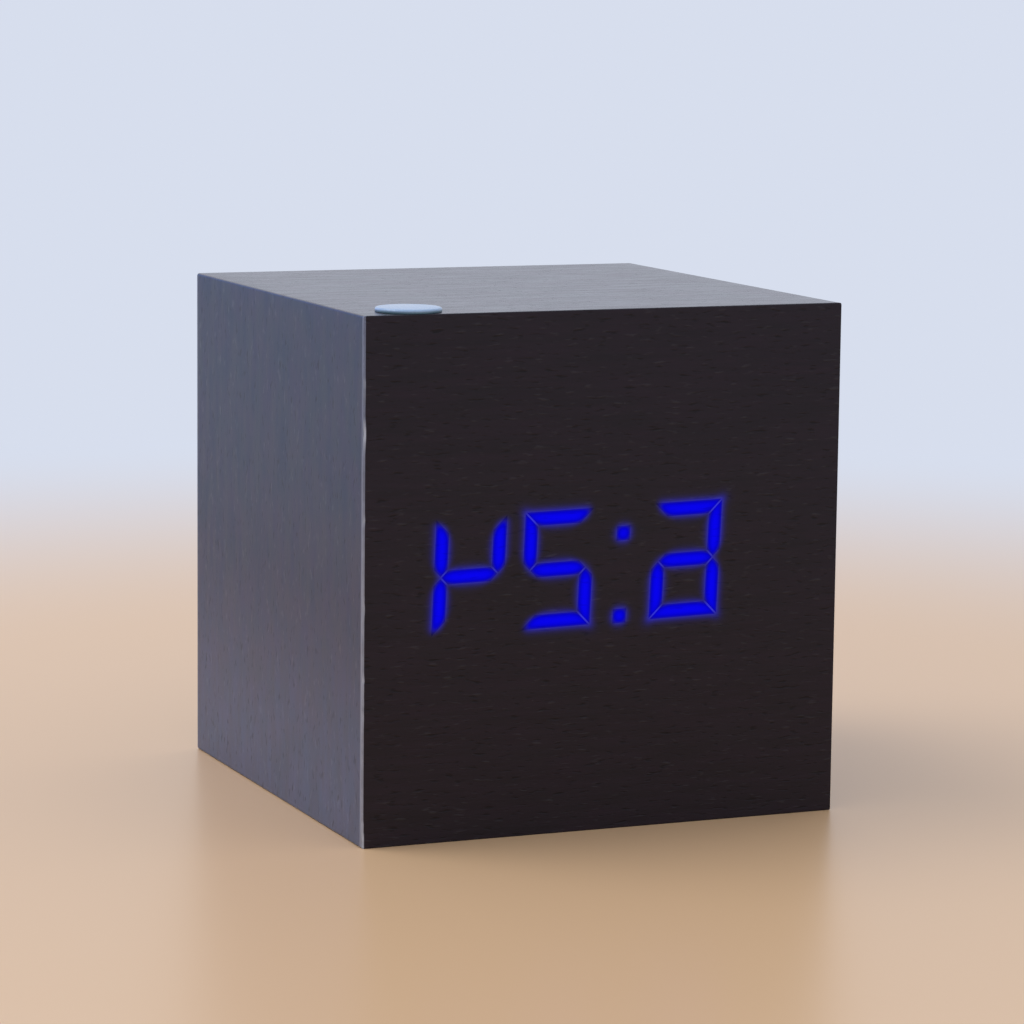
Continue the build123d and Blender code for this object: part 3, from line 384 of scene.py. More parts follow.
def light_values(points, outlines, sizes):
    """Light that reaches each point of the film, up to one.

    A shape's share is the product, over its edges, of a logistic curve of the depth behind the
    edge's line, and of the distance to go to a free tip. The shares of all the shapes add up.
    """
    total = np.zeros(len(points))
    for index, outline in enumerate(outlines):
        run = np.roll(outline, -1, axis=0) - outline
        inward = np.stack([-run[:, 1], run[:, 0]], -1) / np.linalg.norm(run, axis=1)[:, None]
        depth = np.sum((points[:, None] - outline) * inward, axis=-1)
        free = free_edges(outline, outlines[:index] + outlines[index + 1:], sizes)
        depth -= sizes.light_inset * free
        depth = np.column_stack([depth, *tip_depths(points, outline, free, sizes)])
        total += np.prod(1 / (1 + np.exp(-depth / sizes.light_spread)), axis=1)
    return np.clip(total, 0, 1)


def rounds_of(outline, pitch):
    """Points round an outline, each edge cut into steps of about one pitch."""
    run = np.roll(outline, -1, axis=0) - outline
    points = []
    for corner, way in zip(outline, run):
        steps = max(2, int(round(np.linalg.norm(way) / pitch)))
        points.append(corner + np.arange(steps)[:, None] / steps * way)
    return np.concatenate(points)


def spine(outline, inset):
    """Middle, way and half length of a shape's long middle line, drawn in at both ends."""
    middle = (outline.min(0) + outline.max(0)) / 2
    run = np.roll(outline, -1, axis=0) - outline
    longest = run[np.argmax(np.linalg.norm(run, axis=1))]
    way = longest / np.linalg.norm(longest)
    along = (outline - middle) @ way
    return middle, way, max(0.0, (along.max() - along.min()) / 2 - inset)


def spine_feet(points, outline, stroke):
    """Place on a shape's spine, half a stroke short of its ends, that each point is drawn to."""
    middle, way, half = spine(outline, stroke / 2)
    foot = np.clip((points - middle) @ way, -half, half)
    return middle + foot[:, None] * way


def seam_values(points, outline, others, sizes):
    """Nearness to the edges that have a lit neighbour: the exponential of minus the distance."""
    joined = ~free_edges(outline, others, sizes)
    if not joined.any():
        return np.zeros(len(points))
    return np.exp(-edge_distance(points, outline)[:, joined].min(-1) / sizes.seam_reach)


# Share of the way to the spine that each ring of a lit tile is drawn in by. The first is its back
LIT_DRAW = (0.0, 0.0, 0.08, 0.17, 0.28, 0.40, 0.54, 0.70, 0.86, 0.995)


def make_lit_shapes(sizes, finish):
    """The lit shapes: tiles that stand a hair proud of the film.

    Each tile is rings of points: its outline at the back and the front, then rings drawn in towards
    the spine by rising shares of the way.
    """
    low, high = corners("lit_segments")
    outlines = lit_outlines()
    stroke = min(outline.max(0)[0] - outline.min(0)[0] for outline in outlines)
    levels = [high[1] - sizes.film_sink] + [low[1]] * (len(LIT_DRAW) - 1)
    points, faces, seams = [], [], []
    count = 0
    for index, outline in enumerate(outlines):
        ring = rounds_of(outline, sizes.lit_pitch)
        way = spine_feet(ring, outline, stroke) - ring
        others = outlines[:index] + outlines[index + 1:]
        for level, part in zip(levels, LIT_DRAW):
            flat = ring + way * part
            points.append(np.column_stack([flat[:, 0], np.full(len(ring), level), flat[:, 1]]))
            seams.append(seam_values(flat, outline, others, sizes))
        ends = np.arange(len(ring))
        last = (len(LIT_DRAW) - 1) * len(ring)
        faces += [
            count + grid_faces(len(LIT_DRAW), len(ring), closed=True),
            count + ends[None, ::-1], count + last + ends[None]]
        count += len(LIT_DRAW) * len(ring)
    points = np.concatenate(points)
    piece = build("lit_shapes", points, faces)
    light = light_values(points[:, [0, 2]], outlines, sizes)
    keep_values(piece, light=light, seam=np.concatenate(seams))
    return settle(piece, "lit_blue", finish, "lit_segments")


def keep_values(piece, **values):
    """Keep one number at each point of a piece under each name."""
    for name, numbers in values.items():
        piece.data.attributes.new(name, "FLOAT", "POINT").data.foreach_set("value", numbers)


def film_outline(wide, tall, centre, corner):
    """Points of a sheet of given grid lines whose corners are rounded.

    In the small square at each corner the offset from the square's inner point keeps its greater
    part as its length, so that the square becomes a quarter of a disc.
    """
    x, z = np.meshgrid(wide, tall, indexing="ij")
    flat = np.stack([x, z], -1)
    half = np.array([wide[-1], tall[-1]]) - centre
    kept = centre + np.clip(flat - centre, -(half - corner), half - corner)
    offset = flat - kept
    length = np.linalg.norm(offset, axis=-1)
    greatest = np.abs(offset).max(-1)
    factor = np.divide(greatest, length, out=np.ones_like(length), where=length > 0)
    return kept + offset * factor[..., None], kept


def loop_index(rows, columns):
    """Numbers of the points round the rim of a grid, once round."""
    index = np.arange(rows * columns).reshape(rows, columns)
    return np.concatenate([index[:-1, 0], index[-1, :-1], index[:0:-1, -1], index[0, :0:-1]])


def rim_steps(rounding, depth, steps):
    """Outward and backward steps of the film's rim: a quarter round, then straight to the back."""
    angle = np.linspace(0, np.pi / 2, steps + 1)[1:]
    out = np.append(rounding * np.sin(angle), rounding)
    back = np.append(rounding * (1 - np.cos(angle)), depth)
    return out, back


# Steps of the film's rounded rim, and across each of its corners
RIM_STEPS = 5
CORNER_STEPS = 3


def make_film(sizes, finish):
    """The front film: one sheet with a rounded rim, fine around the read-out, dented at one edge.

    Its left edge is cut at 45 degrees: there a point lies back by what its distance from the side
    falls short of the cut's width.
    """
    low, high = corners("front_skin")
    lit_low, lit_high = corners("lit_segments")
    front = low[1] + sizes.film_sink
    rounding = sizes.film_round
    corner = sizes.film_corner
    corner_pitch = corner / CORNER_STEPS
    plain, fine, span = sizes.film_plain_pitch, sizes.film_pitch, sizes.film_margin
    lines = []
    for side in (0, 2):
        near, far = low[side] + rounding, high[side] - rounding
        marks = [
            near, near + corner, lit_low[side] - span, lit_high[side] + span, far - corner, far]
        lines.append(spaced(marks, [corner_pitch, plain, fine, plain, corner_pitch]))
    centre = ((low + high) / 2)[[0, 2]]
    sheet, kept = film_outline(lines[0], lines[1], centre, corner)
    rows, columns = sheet.shape[:2]
    flat = sheet.reshape(-1, 2)
    loop = loop_index(rows, columns)
    outward = flat[loop] - kept.reshape(-1, 2)[loop]
    outward /= np.linalg.norm(outward, axis=1)[:, None]
    out, back = rim_steps(rounding, high[1] - front, RIM_STEPS)
    count = len(flat)
    front_points = np.column_stack([flat[:, 0], np.full(count, front), flat[:, 1]])
    rings = [
        np.column_stack([
            flat[loop, 0] + outward[:, 0] * step, np.full(len(loop), front + behind),
            flat[loop, 1] + outward[:, 1] * step])
        for step, behind in zip(out, back)
    ]
    back_points = front_points.copy()
    back_points[:, 1] = high[1]
    points = np.concatenate([front_points, *rings, back_points])
    ring_count = len(loop)
    bands = [loop]
    bands += [count + index * ring_count + np.arange(ring_count) for index in range(len(rings))]
    back_start = count + len(rings) * ring_count
    bands.append(back_start + loop)
    faces = [grid_faces(rows, columns), back_start + grid_faces(rows, columns)[:, ::-1]]
    for inner, outer in zip(bands[:-1], bands[1:]):
        after = np.roll(np.arange(ring_count), -1)
        faces.append(np.stack([inner[after], inner, outer, outer[after]], -1))
    light = np.zeros(len(points))
    upright = points[:, [0, 2]]
    near = np.all((upright > lit_low[[0, 2]] - span) & (upright < lit_high[[0, 2]] + span), axis=1)
    near &= points[:, 1] < high[1]
    light[near] = light_values(upright[near], lit_outlines(), sizes)
    slant = front + sizes.film_cut - (points[:, 0] - low[0])
    points[:, 1] = np.clip(slant, points[:, 1], high[1])
    points, nick = dented(points, low, high, sizes)
    piece = build("front_film", points, faces)
    keep_values(piece, light=light, nick=nick)
    return settle(piece, "black_wood_front", finish, "front_skin")


# Dents of the front left edge. The small ones: how many, and the least and greatest share of the
# edge's height, width in millimetres and share of a full depth. The two large ones have set values
NICK_COUNT = 14
NICK_PLACES, LARGE_NICK_PLACES = (0.04, 0.97), (0.784, 0.012)
NICK_WIDTHS, LARGE_NICK_WIDTHS = (0.25, 0.8), (0.9, 1.1)
NICK_DEPTHS, LARGE_NICK_DEPTHS = (0.15, 0.6), (1.0, 1.4)
NICK_SEED = 7


def dented(points, low, high, sizes):
    """Press small dents into the front left edge.

    A point near the edge moves right and back by the sum of bell curves along Z, times the
    square of one minus its distance from the edge as a share of the reach. Points at the film's
    back only move right. The second result is the sum as a share of a full dent.
    """
    rng = np.random.default_rng(NICK_SEED)
    places = np.append(rng.uniform(*NICK_PLACES, NICK_COUNT), LARGE_NICK_PLACES)
    places = low[2] + places * (high[2] - low[2])
    widths = np.append(rng.uniform(*NICK_WIDTHS, NICK_COUNT), LARGE_NICK_WIDTHS) * MM
    depths = np.append(rng.uniform(*NICK_DEPTHS, NICK_COUNT), LARGE_NICK_DEPTHS) * sizes.nick_depth
    bell = np.exp(-(((points[:, 2, None] - places) / widths) ** 2)) @ depths
    fade = np.clip(1 - (points[:, 0] - low[0]) / sizes.nick_reach, 0, 1) ** 2
    moved = points.copy()
    moved[:, 0] += bell * fade
    moved[:, 1] += bell * fade * (points[:, 1] < high[1] - sizes.nick_depth)
    return moved, np.clip(bell / sizes.nick_depth, 0, 1)


def board_profile(half, thickness, rounding, round_steps=4, flat_steps=24):
    """Outline of one sleeve board, outer face up: mitred, with half of each corner's arc.

    Returns the points and, for each, +1 on the outer face and -1 on the inner face.
    """
    right = arc((half - rounding, -rounding), rounding, 45, 90, round_steps)
    left = arc((-half + rounding, -rounding), rounding, 90, 135, round_steps)
    top = np.linspace(right[-1], left[0], flat_steps + 1)[1:-1]
    inner = np.linspace(
        [-half + thickness, -thickness], [half - thickness, -thickness], flat_steps + 1)
    points = np.concatenate([right, top, left, inner])
    outer = np.ones(len(points))
    outer[-len(inner):] = -1
    return points, outer


def carried_board(name, half, thickness, place, turn, stations, rounding):
    """A board's outline carried along Y: at each station it is drawn in by that station's amount.

    The outline is turned about Y and set at its place, and each end is closed by one face.
    """
    outline, outer = board_profile(half, thickness, rounding)
    depth = stations[:, 1][:, None]
    lean = np.where(outer > 0, -1.0, 1.0)
    u = outline[:, 0] + lean * depth * outline[:, 0] / np.abs(outline[:, 0]).max()
    v = outline[:, 1] + lean * depth
    angle = math.radians(turn)
    x = place[0] + u * math.cos(angle) - v * math.sin(angle)
    z = place[1] + u * math.sin(angle) + v * math.cos(angle)
    y = np.broadcast_to(stations[:, 0][:, None], x.shape)
    points = np.stack([x, y, z], -1).reshape(-1, 3)
    rows, columns = x.shape
    ends = np.arange(columns)
    faces = [
        grid_faces(rows, columns, closed=True)[:, ::-1], ends[None, :],
        (rows - 1) * columns + ends[None, ::-1]]
    return build(name, points, faces)


# Stations along a sleeve board: how many in its straight run, how far the run keeps from both
# ends, and the steps of the rounded rear end
RUN_STATIONS = 60
RUN_INSET = 1 * MM
END_STEPS = 4


def make_sleeve(sizes, finishes):
    """The sleeve's top and side boards, rounded along their shared edges and eased at both ends."""
    top_low, top_high = corners("top_panel")
    base_low, _ = corners("bottom_panel")
    left_low, _ = corners("left_side_panel")
    _, right_high = corners("right_side_panel")
    thickness = top_high[2] - top_low[2]
    half_wide = (right_high[0] - left_low[0]) / 2
    half_tall = (top_high[2] - base_low[2]) / 2
    front, rear = top_low[1], top_high[1]
    start = [[front, sizes.seam_ease], [front + sizes.seam_ease, 0.0]]
    run = np.linspace(front + RUN_INSET, rear - RUN_INSET, RUN_STATIONS)
    turn = np.radians(np.linspace(0, 90, END_STEPS + 1))
    end = np.column_stack([
        rear - sizes.end_round * (1 - np.sin(turn)), sizes.end_round * (1 - np.cos(turn))])
    stations = np.concatenate([start, np.column_stack([run, np.zeros(len(run))]), end])
    boards = (
        ("top_board", "top_panel", "black_wood_top", half_wide, (0, top_high[2]), 0),
        ("left_board", "left_side_panel", "black_wood_side", half_tall,
         (-half_wide, half_tall), 90),
        ("right_board", "right_side_panel", "black_wood_side", half_tall,
         (half_wide, half_tall), 270),
    )
    for name, node, slot, half, place, angle in boards:
        piece = carried_board(name, half, thickness, place, angle, stations, sizes.edge_round)
        settle(piece, slot, finishes[slot], node)


def crowned(radius, edge, rise, rings):
    """Profile of a round face from its rim to its pole, as radius and height.

    The height is that of the edge, plus the rise times one minus the square of the share of the
    radius.
    """
    across = np.linspace(1, 0, rings + 1)[1:]
    return np.stack([radius * across, edge + rise * (1 - across ** 2)], -1)


# Shares of the dot's thickness: the most that its rim takes, and the rise of its face. Then the
# steps of a rounded rim, and the rings of the dot's and a button's face
DOT_RIM_SHARE, DOT_RISE_SHARE = 0.7, 0.12
RIM_ARC_STEPS = 7
DOT_RINGS, DISH_RINGS = 8, 10


def make_dot(sizes, finish):
    """The tap dot: a thin disc with a rounded rim and a faint dome."""
    low, high = corners("tap_dot")
    radius = (high[0] - low[0]) / 2
    thick = high[2] - low[2]
    centre = ((low[0] + high[0]) / 2, (low[1] + high[1]) / 2, low[2])
    rounding = min(sizes.dot_round, DOT_RIM_SHARE * thick)
    rise = DOT_RISE_SHARE * thick
    foot = [[0, 0], [radius - sizes.dot_ease, 0], [radius, sizes.dot_ease]]
    rim = arc((radius - rounding, thick - rise - rounding), rounding, 0, 90, RIM_ARC_STEPS)
    face = crowned(radius - rounding, thick - rise, rise, DOT_RINGS)
    profile = np.concatenate([foot, rim, face])
    piece = revolved("tap_dot_disc", profile[:, ::-1], centre, 2, steps=96)
    return settle(piece, "pale_dot", finish, "tap_dot")


def make_buttons(sizes, finish):
    """Each rear button: a dished cap on a stem, with the flange that holds it in the panel."""
    ease = sizes.flange_ease
    rounding = sizes.button_round
    for name in ("down", "up", "set"):
        node = name + "_button"
        low, high = corners(node)
        centre = ((low[0] + high[0]) / 2, 0, (low[2] + high[2]) / 2)
        flange = (high[0] - low[0]) / 2
        stem = flange - sizes.flange_reach
        seat = low[1] + sizes.flange_thick
        rim = arc((stem - rounding, high[1] - rounding), rounding, 0, 90, RIM_ARC_STEPS)
        profile = np.concatenate([
            [[0, low[1]], [flange - ease, low[1]], [flange, low[1] + ease],
             [flange, seat - ease], [flange - ease, seat], [stem, seat]],
            rim, crowned(stem - rounding, high[1], -sizes.button_dish, DISH_RINGS)])
        piece = revolved(name + "_button_cap", profile[:, ::-1], centre, 1, steps=72)
        settle(piece, "button_plastic", finish, node)


# Radii of the hollow in a cell's foot, at its floor and its mouth, as shares of the cell's radius
FOOT_FLOOR_SHARE, FOOT_MOUTH_SHARE = 0.62, 0.68
LIP_STEPS = 5


def make_cells(sizes, finish):
    """The three cells: a jacket drawn over each can, a crimped foot and a raised cap.

    Each is one profile of rings along X, from the foot to the cap, and each second cell is turned.
    """
    low, high = corners("battery_cells")
    radius = (high[2] - low[2]) / 2
    pitch = ((high[1] - low[1]) - 2 * radius) / 2
    length = high[0] - low[0]
    body = length - sizes.cell_rise
    can = radius - sizes.jacket_step
    cap, lip, ease, hollow = sizes.cell_cap, sizes.cell_lip, sizes.cap_ease, sizes.cell_foot
    bare = lip + sizes.jacket_ends
    full = bare + sizes.jacket_slope
    profile = np.concatenate([
        [[hollow, 0], [hollow, radius * FOOT_FLOOR_SHARE], [0, radius * FOOT_MOUTH_SHARE]],
        arc((lip, can - lip), lip, 180, 90, LIP_STEPS),
        [[bare, can], [full, radius], [body - full, radius], [body - bare, can]],
        arc((body - lip, can - lip), lip, 90, 0, LIP_STEPS),
        [[body, cap + sizes.cap_ring], [body, cap], [length - ease, cap], [length, cap - ease],
         [length, 0]],
    ])
    middle_y = (low[1] + high[1]) / 2
    for index, name in enumerate(("front", "middle", "rear")):
        turned = index % 2 == 1
        along = high[0] - profile[:, 0] if turned else low[0] + profile[:, 0]
        centre = (0, middle_y + (index - 1) * pitch, low[2] + radius)
        piece = revolved(name + "_cell", np.stack([along, profile[:, 1]], -1), centre, 0)
        settle(piece, "cell_jacket", finish, "battery_cells")


def feed(tree, socket, value):
    """Give an input a value, or link it to another node's output."""
    if isinstance(value, bpy.types.NodeSocket):
        tree.links.new(value, socket)
    else:
        socket.default_value = value


def add(tree, kind, inputs=None, **settings):
    """Add a node, set it up and feed its inputs."""
    made = tree.nodes.new(kind)
    for key, value in settings.items():
        setattr(made, key, value)
    for key, value in (inputs or {}).items():
        feed(tree, made.inputs[key], value)
    return made


def calc(tree, operation, first, second=0.0, clamp=False):
    """One arithmetic step."""
    made = add(tree, "ShaderNodeMath", {0: first, 1: second}, operation=operation, use_clamp=clamp)
    return made.outputs[0]


def vector_calc(tree, operation, first, second=(0.0, 0.0, 0.0)):
    """One arithmetic step on vectors."""
    made = add(tree, "ShaderNodeVectorMath", {0: first, 1: second}, operation=operation)
    return made.outputs[0]


def parts_of(tree, vector):
    """The three numbers of a vector."""
    return tuple(add(tree, "ShaderNodeSeparateXYZ", {0: vector}).outputs)


def vector_of(tree, first, second, third):
    """A vector of three numbers."""
    return add(tree, "ShaderNodeCombineXYZ", {0: first, 1: second, 2: third}).outputs[0]


def ramp(tree, value, low, high, start=0.0, stop=1.0):
    """A smooth step from start to stop while value goes from low to high."""
    made = add(
        tree, "ShaderNodeMapRange",
        {"Value": value, "From Min": low, "From Max": high, "To Min": start, "To Max": stop},
        interpolation_type="SMOOTHSTEP")
    return made.outputs[0]


def between(tree, factor, first, second):
    """Two numbers mixed."""
    return add(tree, "ShaderNodeMix", {0: factor, 2: first, 3: second}).outputs[0]


def blend(tree, factor, first, second):
    """Two colours mixed."""
    made = add(tree, "ShaderNodeMix", {0: factor, 6: first, 7: second}, data_type="RGBA")
    return made.outputs[2]


def colour(rgb):
    """A colour with full cover, for a socket."""
    return (*rgb, 1.0)


BLACK = colour((0.0, 0.0, 0.0))


def shaded(rgb, factor, lift=0.0):
    """A colour for a socket: each part times a factor, plus a lift, and one at most."""
    return colour(np.minimum(np.array(rgb) * factor + lift, 1.0))


def noise(tree, vector, scale=1.0, detail=2.0, seed=0.0, rough=0.5):
    """Soft random values about one half. The scale is in waves per unit of the place."""
    made = add(
        tree, "ShaderNodeTexNoise",
        {"Vector": vector, "W": seed, "Scale": scale, "Detail": detail, "Roughness": rough},
        noise_dimensions="4D")
    return made.outputs["Fac"]


def lattice(tree, vector, scale, **settings):
    """Cells of a random lattice: the distance to a cell's point, and two random numbers of it."""
    cells = add(tree, "ShaderNodeTexVoronoi", {"Vector": vector, "Scale": scale}, **settings)
    pick = add(tree, "ShaderNodeSeparateColor", {0: cells.outputs["Color"]})
    return cells.outputs["Distance"], pick.outputs[0], pick.outputs[1]


NUMBER, ARROW = "NodeSocketFloat", "NodeSocketVector"


def effect(name, inputs, outputs):
    """An effect group with named inputs and outputs. Returns it, its inputs and its output node."""
    group = bpy.data.node_groups.new(name, "ShaderNodeTree")
    for label, kind, default in inputs:
        socket = group.interface.new_socket(label, in_out="INPUT", socket_type=kind)
        socket.default_value = default
    for label in outputs:
        group.interface.new_socket(label, in_out="OUTPUT", socket_type=NUMBER)
    given, made = group.nodes.new("NodeGroupInput"), group.nodes.new("NodeGroupOutput")
    return group, given.outputs, made


# The grain's noises, on a place counted in dashes: where the dark and the light dashes and the
# blotches start and are full, how far each layer is drawn out, and what it adds to the seed
DARK_TAIL, LIGHT_TAIL, BLOTCH_TAIL = (0.43, 0.26), (0.59, 0.77), (0.34, 0.66)
STREAK_DRAW, BLOTCH_DRAW, FIBRE_DRAW = (0.14, 0.4, 0.4), (0.25, 0.14, 0.14), (0.5, 2.2, 2.2)
LIGHT_SEED, STREAK_SEED, BLOTCH_SEED = 9.0, 21.0, 33.0
FIBRE_HEIGHT, LIGHT_HEIGHT = 0.55, 0.6


def grain_effect():
    """Wood grain along the first axis.

    Dark and light dashes are the low and the high ends of two noises on a grid of dashes, and
    streaks and blotches are noises on the same grid drawn out. The height is a finer noise, less
    the dark dashes, plus a share of the light ones.
    """
    group, given, made = effect(
        "Wood grain",
        [("Position", ARROW, (0, 0, 0)), ("Dash length", NUMBER, 2 * MM),
         ("Dash width", NUMBER, 0.2 * MM), ("Seed", NUMBER, 0.0)],
        ["Dark", "Light", "Streak", "Blotch", "Height"])
    length, width, seed = given["Dash length"], given["Dash width"], given["Seed"]
    place = vector_calc(group, "DIVIDE", given["Position"], vector_of(group, length, width, width))
    dark = ramp(group, noise(group, place, detail=1.0, seed=seed), *DARK_TAIL)
    light = noise(group, place, scale=0.9, detail=1.0, seed=calc(group, "ADD", seed, LIGHT_SEED))
    light = ramp(group, light, *LIGHT_TAIL)
    streak = noise(
        group, vector_calc(group, "MULTIPLY", place, STREAK_DRAW), detail=3.0,
        seed=calc(group, "ADD", seed, STREAK_SEED), rough=0.6)
    blotch = noise(
        group, vector_calc(group, "MULTIPLY", place, BLOTCH_DRAW), detail=3.0,
        seed=calc(group, "ADD", seed, BLOTCH_SEED), rough=0.55)
    fibre = noise(group, vector_calc(group, "MULTIPLY", place, FIBRE_DRAW), seed=seed)
    low = calc(group, "SUBTRACT", calc(group, "MULTIPLY", fibre, FIBRE_HEIGHT), dark)
    high = calc(group, "MULTIPLY", light, LIGHT_HEIGHT)
    feed(group, made.inputs["Dark"], dark)
    feed(group, made.inputs["Light"], light)
    feed(group, made.inputs["Streak"], streak)
    feed(group, made.inputs["Blotch"], ramp(group, blotch, *BLOTCH_TAIL))
    feed(group, made.inputs["Height"], calc(group, "ADD", low, high))
    return group


# Where the patches of wear start and are full, on their noise
WEAR_TAIL = (0.46, 0.66)


def wear_effect():
    """Patchy rubbing along the edges of a box.

    The distance to the nearest edge is the middle one of the three distances to the box's faces.
    """
    group, given, made = effect(
        "Edge wear",
        [("Position", ARROW, (0, 0, 0)), ("Centre", ARROW, (0, 0, 0)),
         ("Half size", ARROW, (30 * MM, 30 * MM, 30 * MM)), ("Reach", NUMBER, 0.5 * MM),
         ("Patch", NUMBER, 3 * MM), ("Seed", NUMBER, 0.0)],
        ["Wear"])
    offset = vector_calc(group, "SUBTRACT", given["Position"], given["Centre"])
    offset = vector_calc(group, "ABSOLUTE", offset)
    x, y, z = parts_of(group, vector_calc(group, "SUBTRACT", given["Half size"], offset))
    low = calc(group, "MINIMUM", x, y)
    high = calc(group, "MAXIMUM", x, y)
    middle = calc(group, "MAXIMUM", low, calc(group, "MINIMUM", high, z))
    edge = ramp(group, middle, given["Reach"], 0.0)
    scale = calc(group, "DIVIDE", 1.0, given["Patch"])
    patch = noise(
        group, given["Position"], scale, detail=4.0, seed=given["Seed"], rough=0.65)
    patch = ramp(group, patch, *WEAR_TAIL)
    feed(group, made.inputs["Wear"], calc(group, "MULTIPLY", edge, patch))
    return group


# Radius of a speck in shares of a lattice cell: the least, what chance adds, and the soft rim
SPECK_LEAST, SPECK_SPREAD, SPECK_RIM = 0.03, 0.10, 0.03


def speck_effect():
    """Small round specks, in a share of the cells of a random lattice."""
    group, given, made = effect(
        "Specks",
        [("Position", ARROW, (0, 0, 0)), ("Cell", NUMBER, 3 * MM), ("Share", NUMBER, 0.3),
         ("Seed", NUMBER, 0.0)],
        ["Speck"])
    shift = vector_of(group, given["Seed"], 0.0, 0.0)
    place = vector_calc(group, "ADD", given["Position"], shift)
    distance, chance, spread = lattice(group, place, calc(group, "DIVIDE", 1.0, given["Cell"]))
    chosen = calc(group, "LESS_THAN", chance, given["Share"])
    radius = calc(group, "ADD", calc(group, "MULTIPLY", spread, SPECK_SPREAD), SPECK_LEAST)
    near = ramp(group, calc(group, "SUBTRACT", radius, distance), 0.0, SPECK_RIM)
    feed(group, made.inputs["Speck"], calc(group, "MULTIPLY", chosen, near))
    return group


# Waves of a mould's sheen patches for each wave of its spark texture
SHEEN_WAVES = 0.06


def moulding_effect():
    """Fine spark texture of a mould, with broad patches in its sheen."""
    group, given, made = effect(
        "Mould texture",
        [("Position", ARROW, (0, 0, 0)), ("Pitch", NUMBER, 0.3 * MM), ("Seed", NUMBER, 0.0)],
        ["Height", "Patch"])
    scale = calc(group, "DIVIDE", 1.0, given["Pitch"])
    fine = noise(group, given["Position"], scale, seed=given["Seed"])
    broad = calc(group, "MULTIPLY", scale, SHEEN_WAVES)
    patch = noise(group, given["Position"], broad, detail=3.0, seed=given["Seed"])
    feed(group, made.inputs["Height"], fine)
    feed(group, made.inputs["Patch"], patch)
    return group


# Length of a scratch in its widths, waves of the tarnish for each width, and where the tarnish
# starts and is full on its noise
SCRATCH_LENGTH, TARNISH_WAVES, TARNISH_TAIL = 30.0, 0.05, (0.45, 0.75)


def brushed_effect():
    """Fine scratches along the first axis, with patches of tarnish."""
    group, given, made = effect(
        "Metal scratches",
        [("Position", ARROW, (0, 0, 0)), ("Pitch", NUMBER, 0.1 * MM), ("Seed", NUMBER, 0.0)],
        ["Height", "Tarnish"])
    pitch = given["Pitch"]
    cell = vector_of(group, calc(group, "MULTIPLY", pitch, SCRATCH_LENGTH), pitch, pitch)
    place = vector_calc(group, "DIVIDE", given["Position"], cell)
    feed(group, made.inputs["Height"], noise(group, place, seed=given["Seed"]))
    broad = calc(group, "DIVIDE", TARNISH_WAVES, pitch)
    patch = noise(group, given["Position"], broad, detail=4.0, seed=given["Seed"], rough=0.6)
    feed(group, made.inputs["Tarnish"], ramp(group, patch, *TARNISH_TAIL))
    return group


# Circuit tracks: lattice cells for each track pitch, the share of cells whose tracks run level
# and the share that stay bare, and a track's soft edge. Then the cells and edge of the pads
TRACK_CELLS, LEVEL_SHARE, BARE_SHARE, TRACK_EDGE = 0.12, 0.5, 0.35, (0.55, 0.7)
PAD_CELLS, PAD_EDGE = 0.3, (0.13, 0.09)


def track_effect():
    """Circuit tracks: stepped bands across a coarse lattice, thin and parallel in each cell."""
    group, given, made = effect(
        "Board tracks", [("Position", ARROW, (0, 0, 0)), ("Pitch", NUMBER, 0.6 * MM)],
        ["Track", "Pad"])
    pitch = given["Pitch"]
    x, _, z = parts_of(group, given["Position"])
    coarse = calc(group, "DIVIDE", TRACK_CELLS, pitch)
    _, chance, fill = lattice(group, given["Position"], coarse, distance="MANHATTAN")
    across = between(group, calc(group, "GREATER_THAN", chance, LEVEL_SHARE), x, z)
    wave = calc(group, "PINGPONG", calc(group, "DIVIDE", across, pitch), 1.0)
    busy = calc(group, "GREATER_THAN", fill, BARE_SHARE)
    band = ramp(group, wave, *TRACK_EDGE)
    feed(group, made.inputs["Track"], calc(group, "MULTIPLY", band, busy))
    distance, _, _ = lattice(group, given["Position"], calc(group, "DIVIDE", PAD_CELLS, pitch))
    feed(group, made.inputs["Pad"], ramp(group, distance, *PAD_EDGE))
    return group


EFFECTS = {
    "grain": grain_effect, "wear": wear_effect, "speck": speck_effect, "mould": moulding_effect,
    "brushed": brushed_effect, "track": track_effect,
}
EFFECT_GROUPS = {}


def place_effect(tree, key, **inputs):
    """Put an effect group into a material with its own values. It is built at its first use."""
    if key not in EFFECT_GROUPS:
        EFFECT_GROUPS[key] = EFFECTS[key]()
    made = tree.nodes.new("ShaderNodeGroup")
    made.node_tree = EFFECT_GROUPS[key]
    for name, value in inputs.items():
        feed(tree, made.inputs[name.replace("_", " ")], value)
    return made.outputs


def new_finish(name, roughness=0.5, metallic=0.0, specular=0.5, coat=0.0):
    """A material, its tree, its Principled shader and its Object coordinates."""
    material = bpy.data.materials.new(name)
    material.use_nodes = True
    tree = material.node_tree
    shader = tree.nodes["Principled BSDF"]
    shader.inputs["Roughness"].default_value = roughness
    shader.inputs["Metallic"].default_value = metallic
    shader.inputs["Specular IOR Level"].default_value = specular
    shader.inputs["Coat Weight"].default_value = coat
    place = tree.nodes.new("ShaderNodeTexCoord").outputs["Object"]
    return material, tree, shader, place


def bump(tree, shader, height, depth):
    """Feed the shader's normal from a height of the given depth in metres."""
    made = add(tree, "ShaderNodeBump", {"Height": height, "Distance": depth, "Strength": 1.0})
    feed(tree, shader.inputs["Normal"], made.outputs[0])


def stored(tree, name):
    """A number that the mesh keeps at its points."""
    return add(tree, "ShaderNodeAttribute", attribute_name=name).outputs["Fac"]


def shine(tree, shader, light):
    """Let a surface give off light of a colour."""
    feed(tree, shader.inputs["Emission Color"], light)
    shader.inputs["Emission Strength"].default_value = 1.0


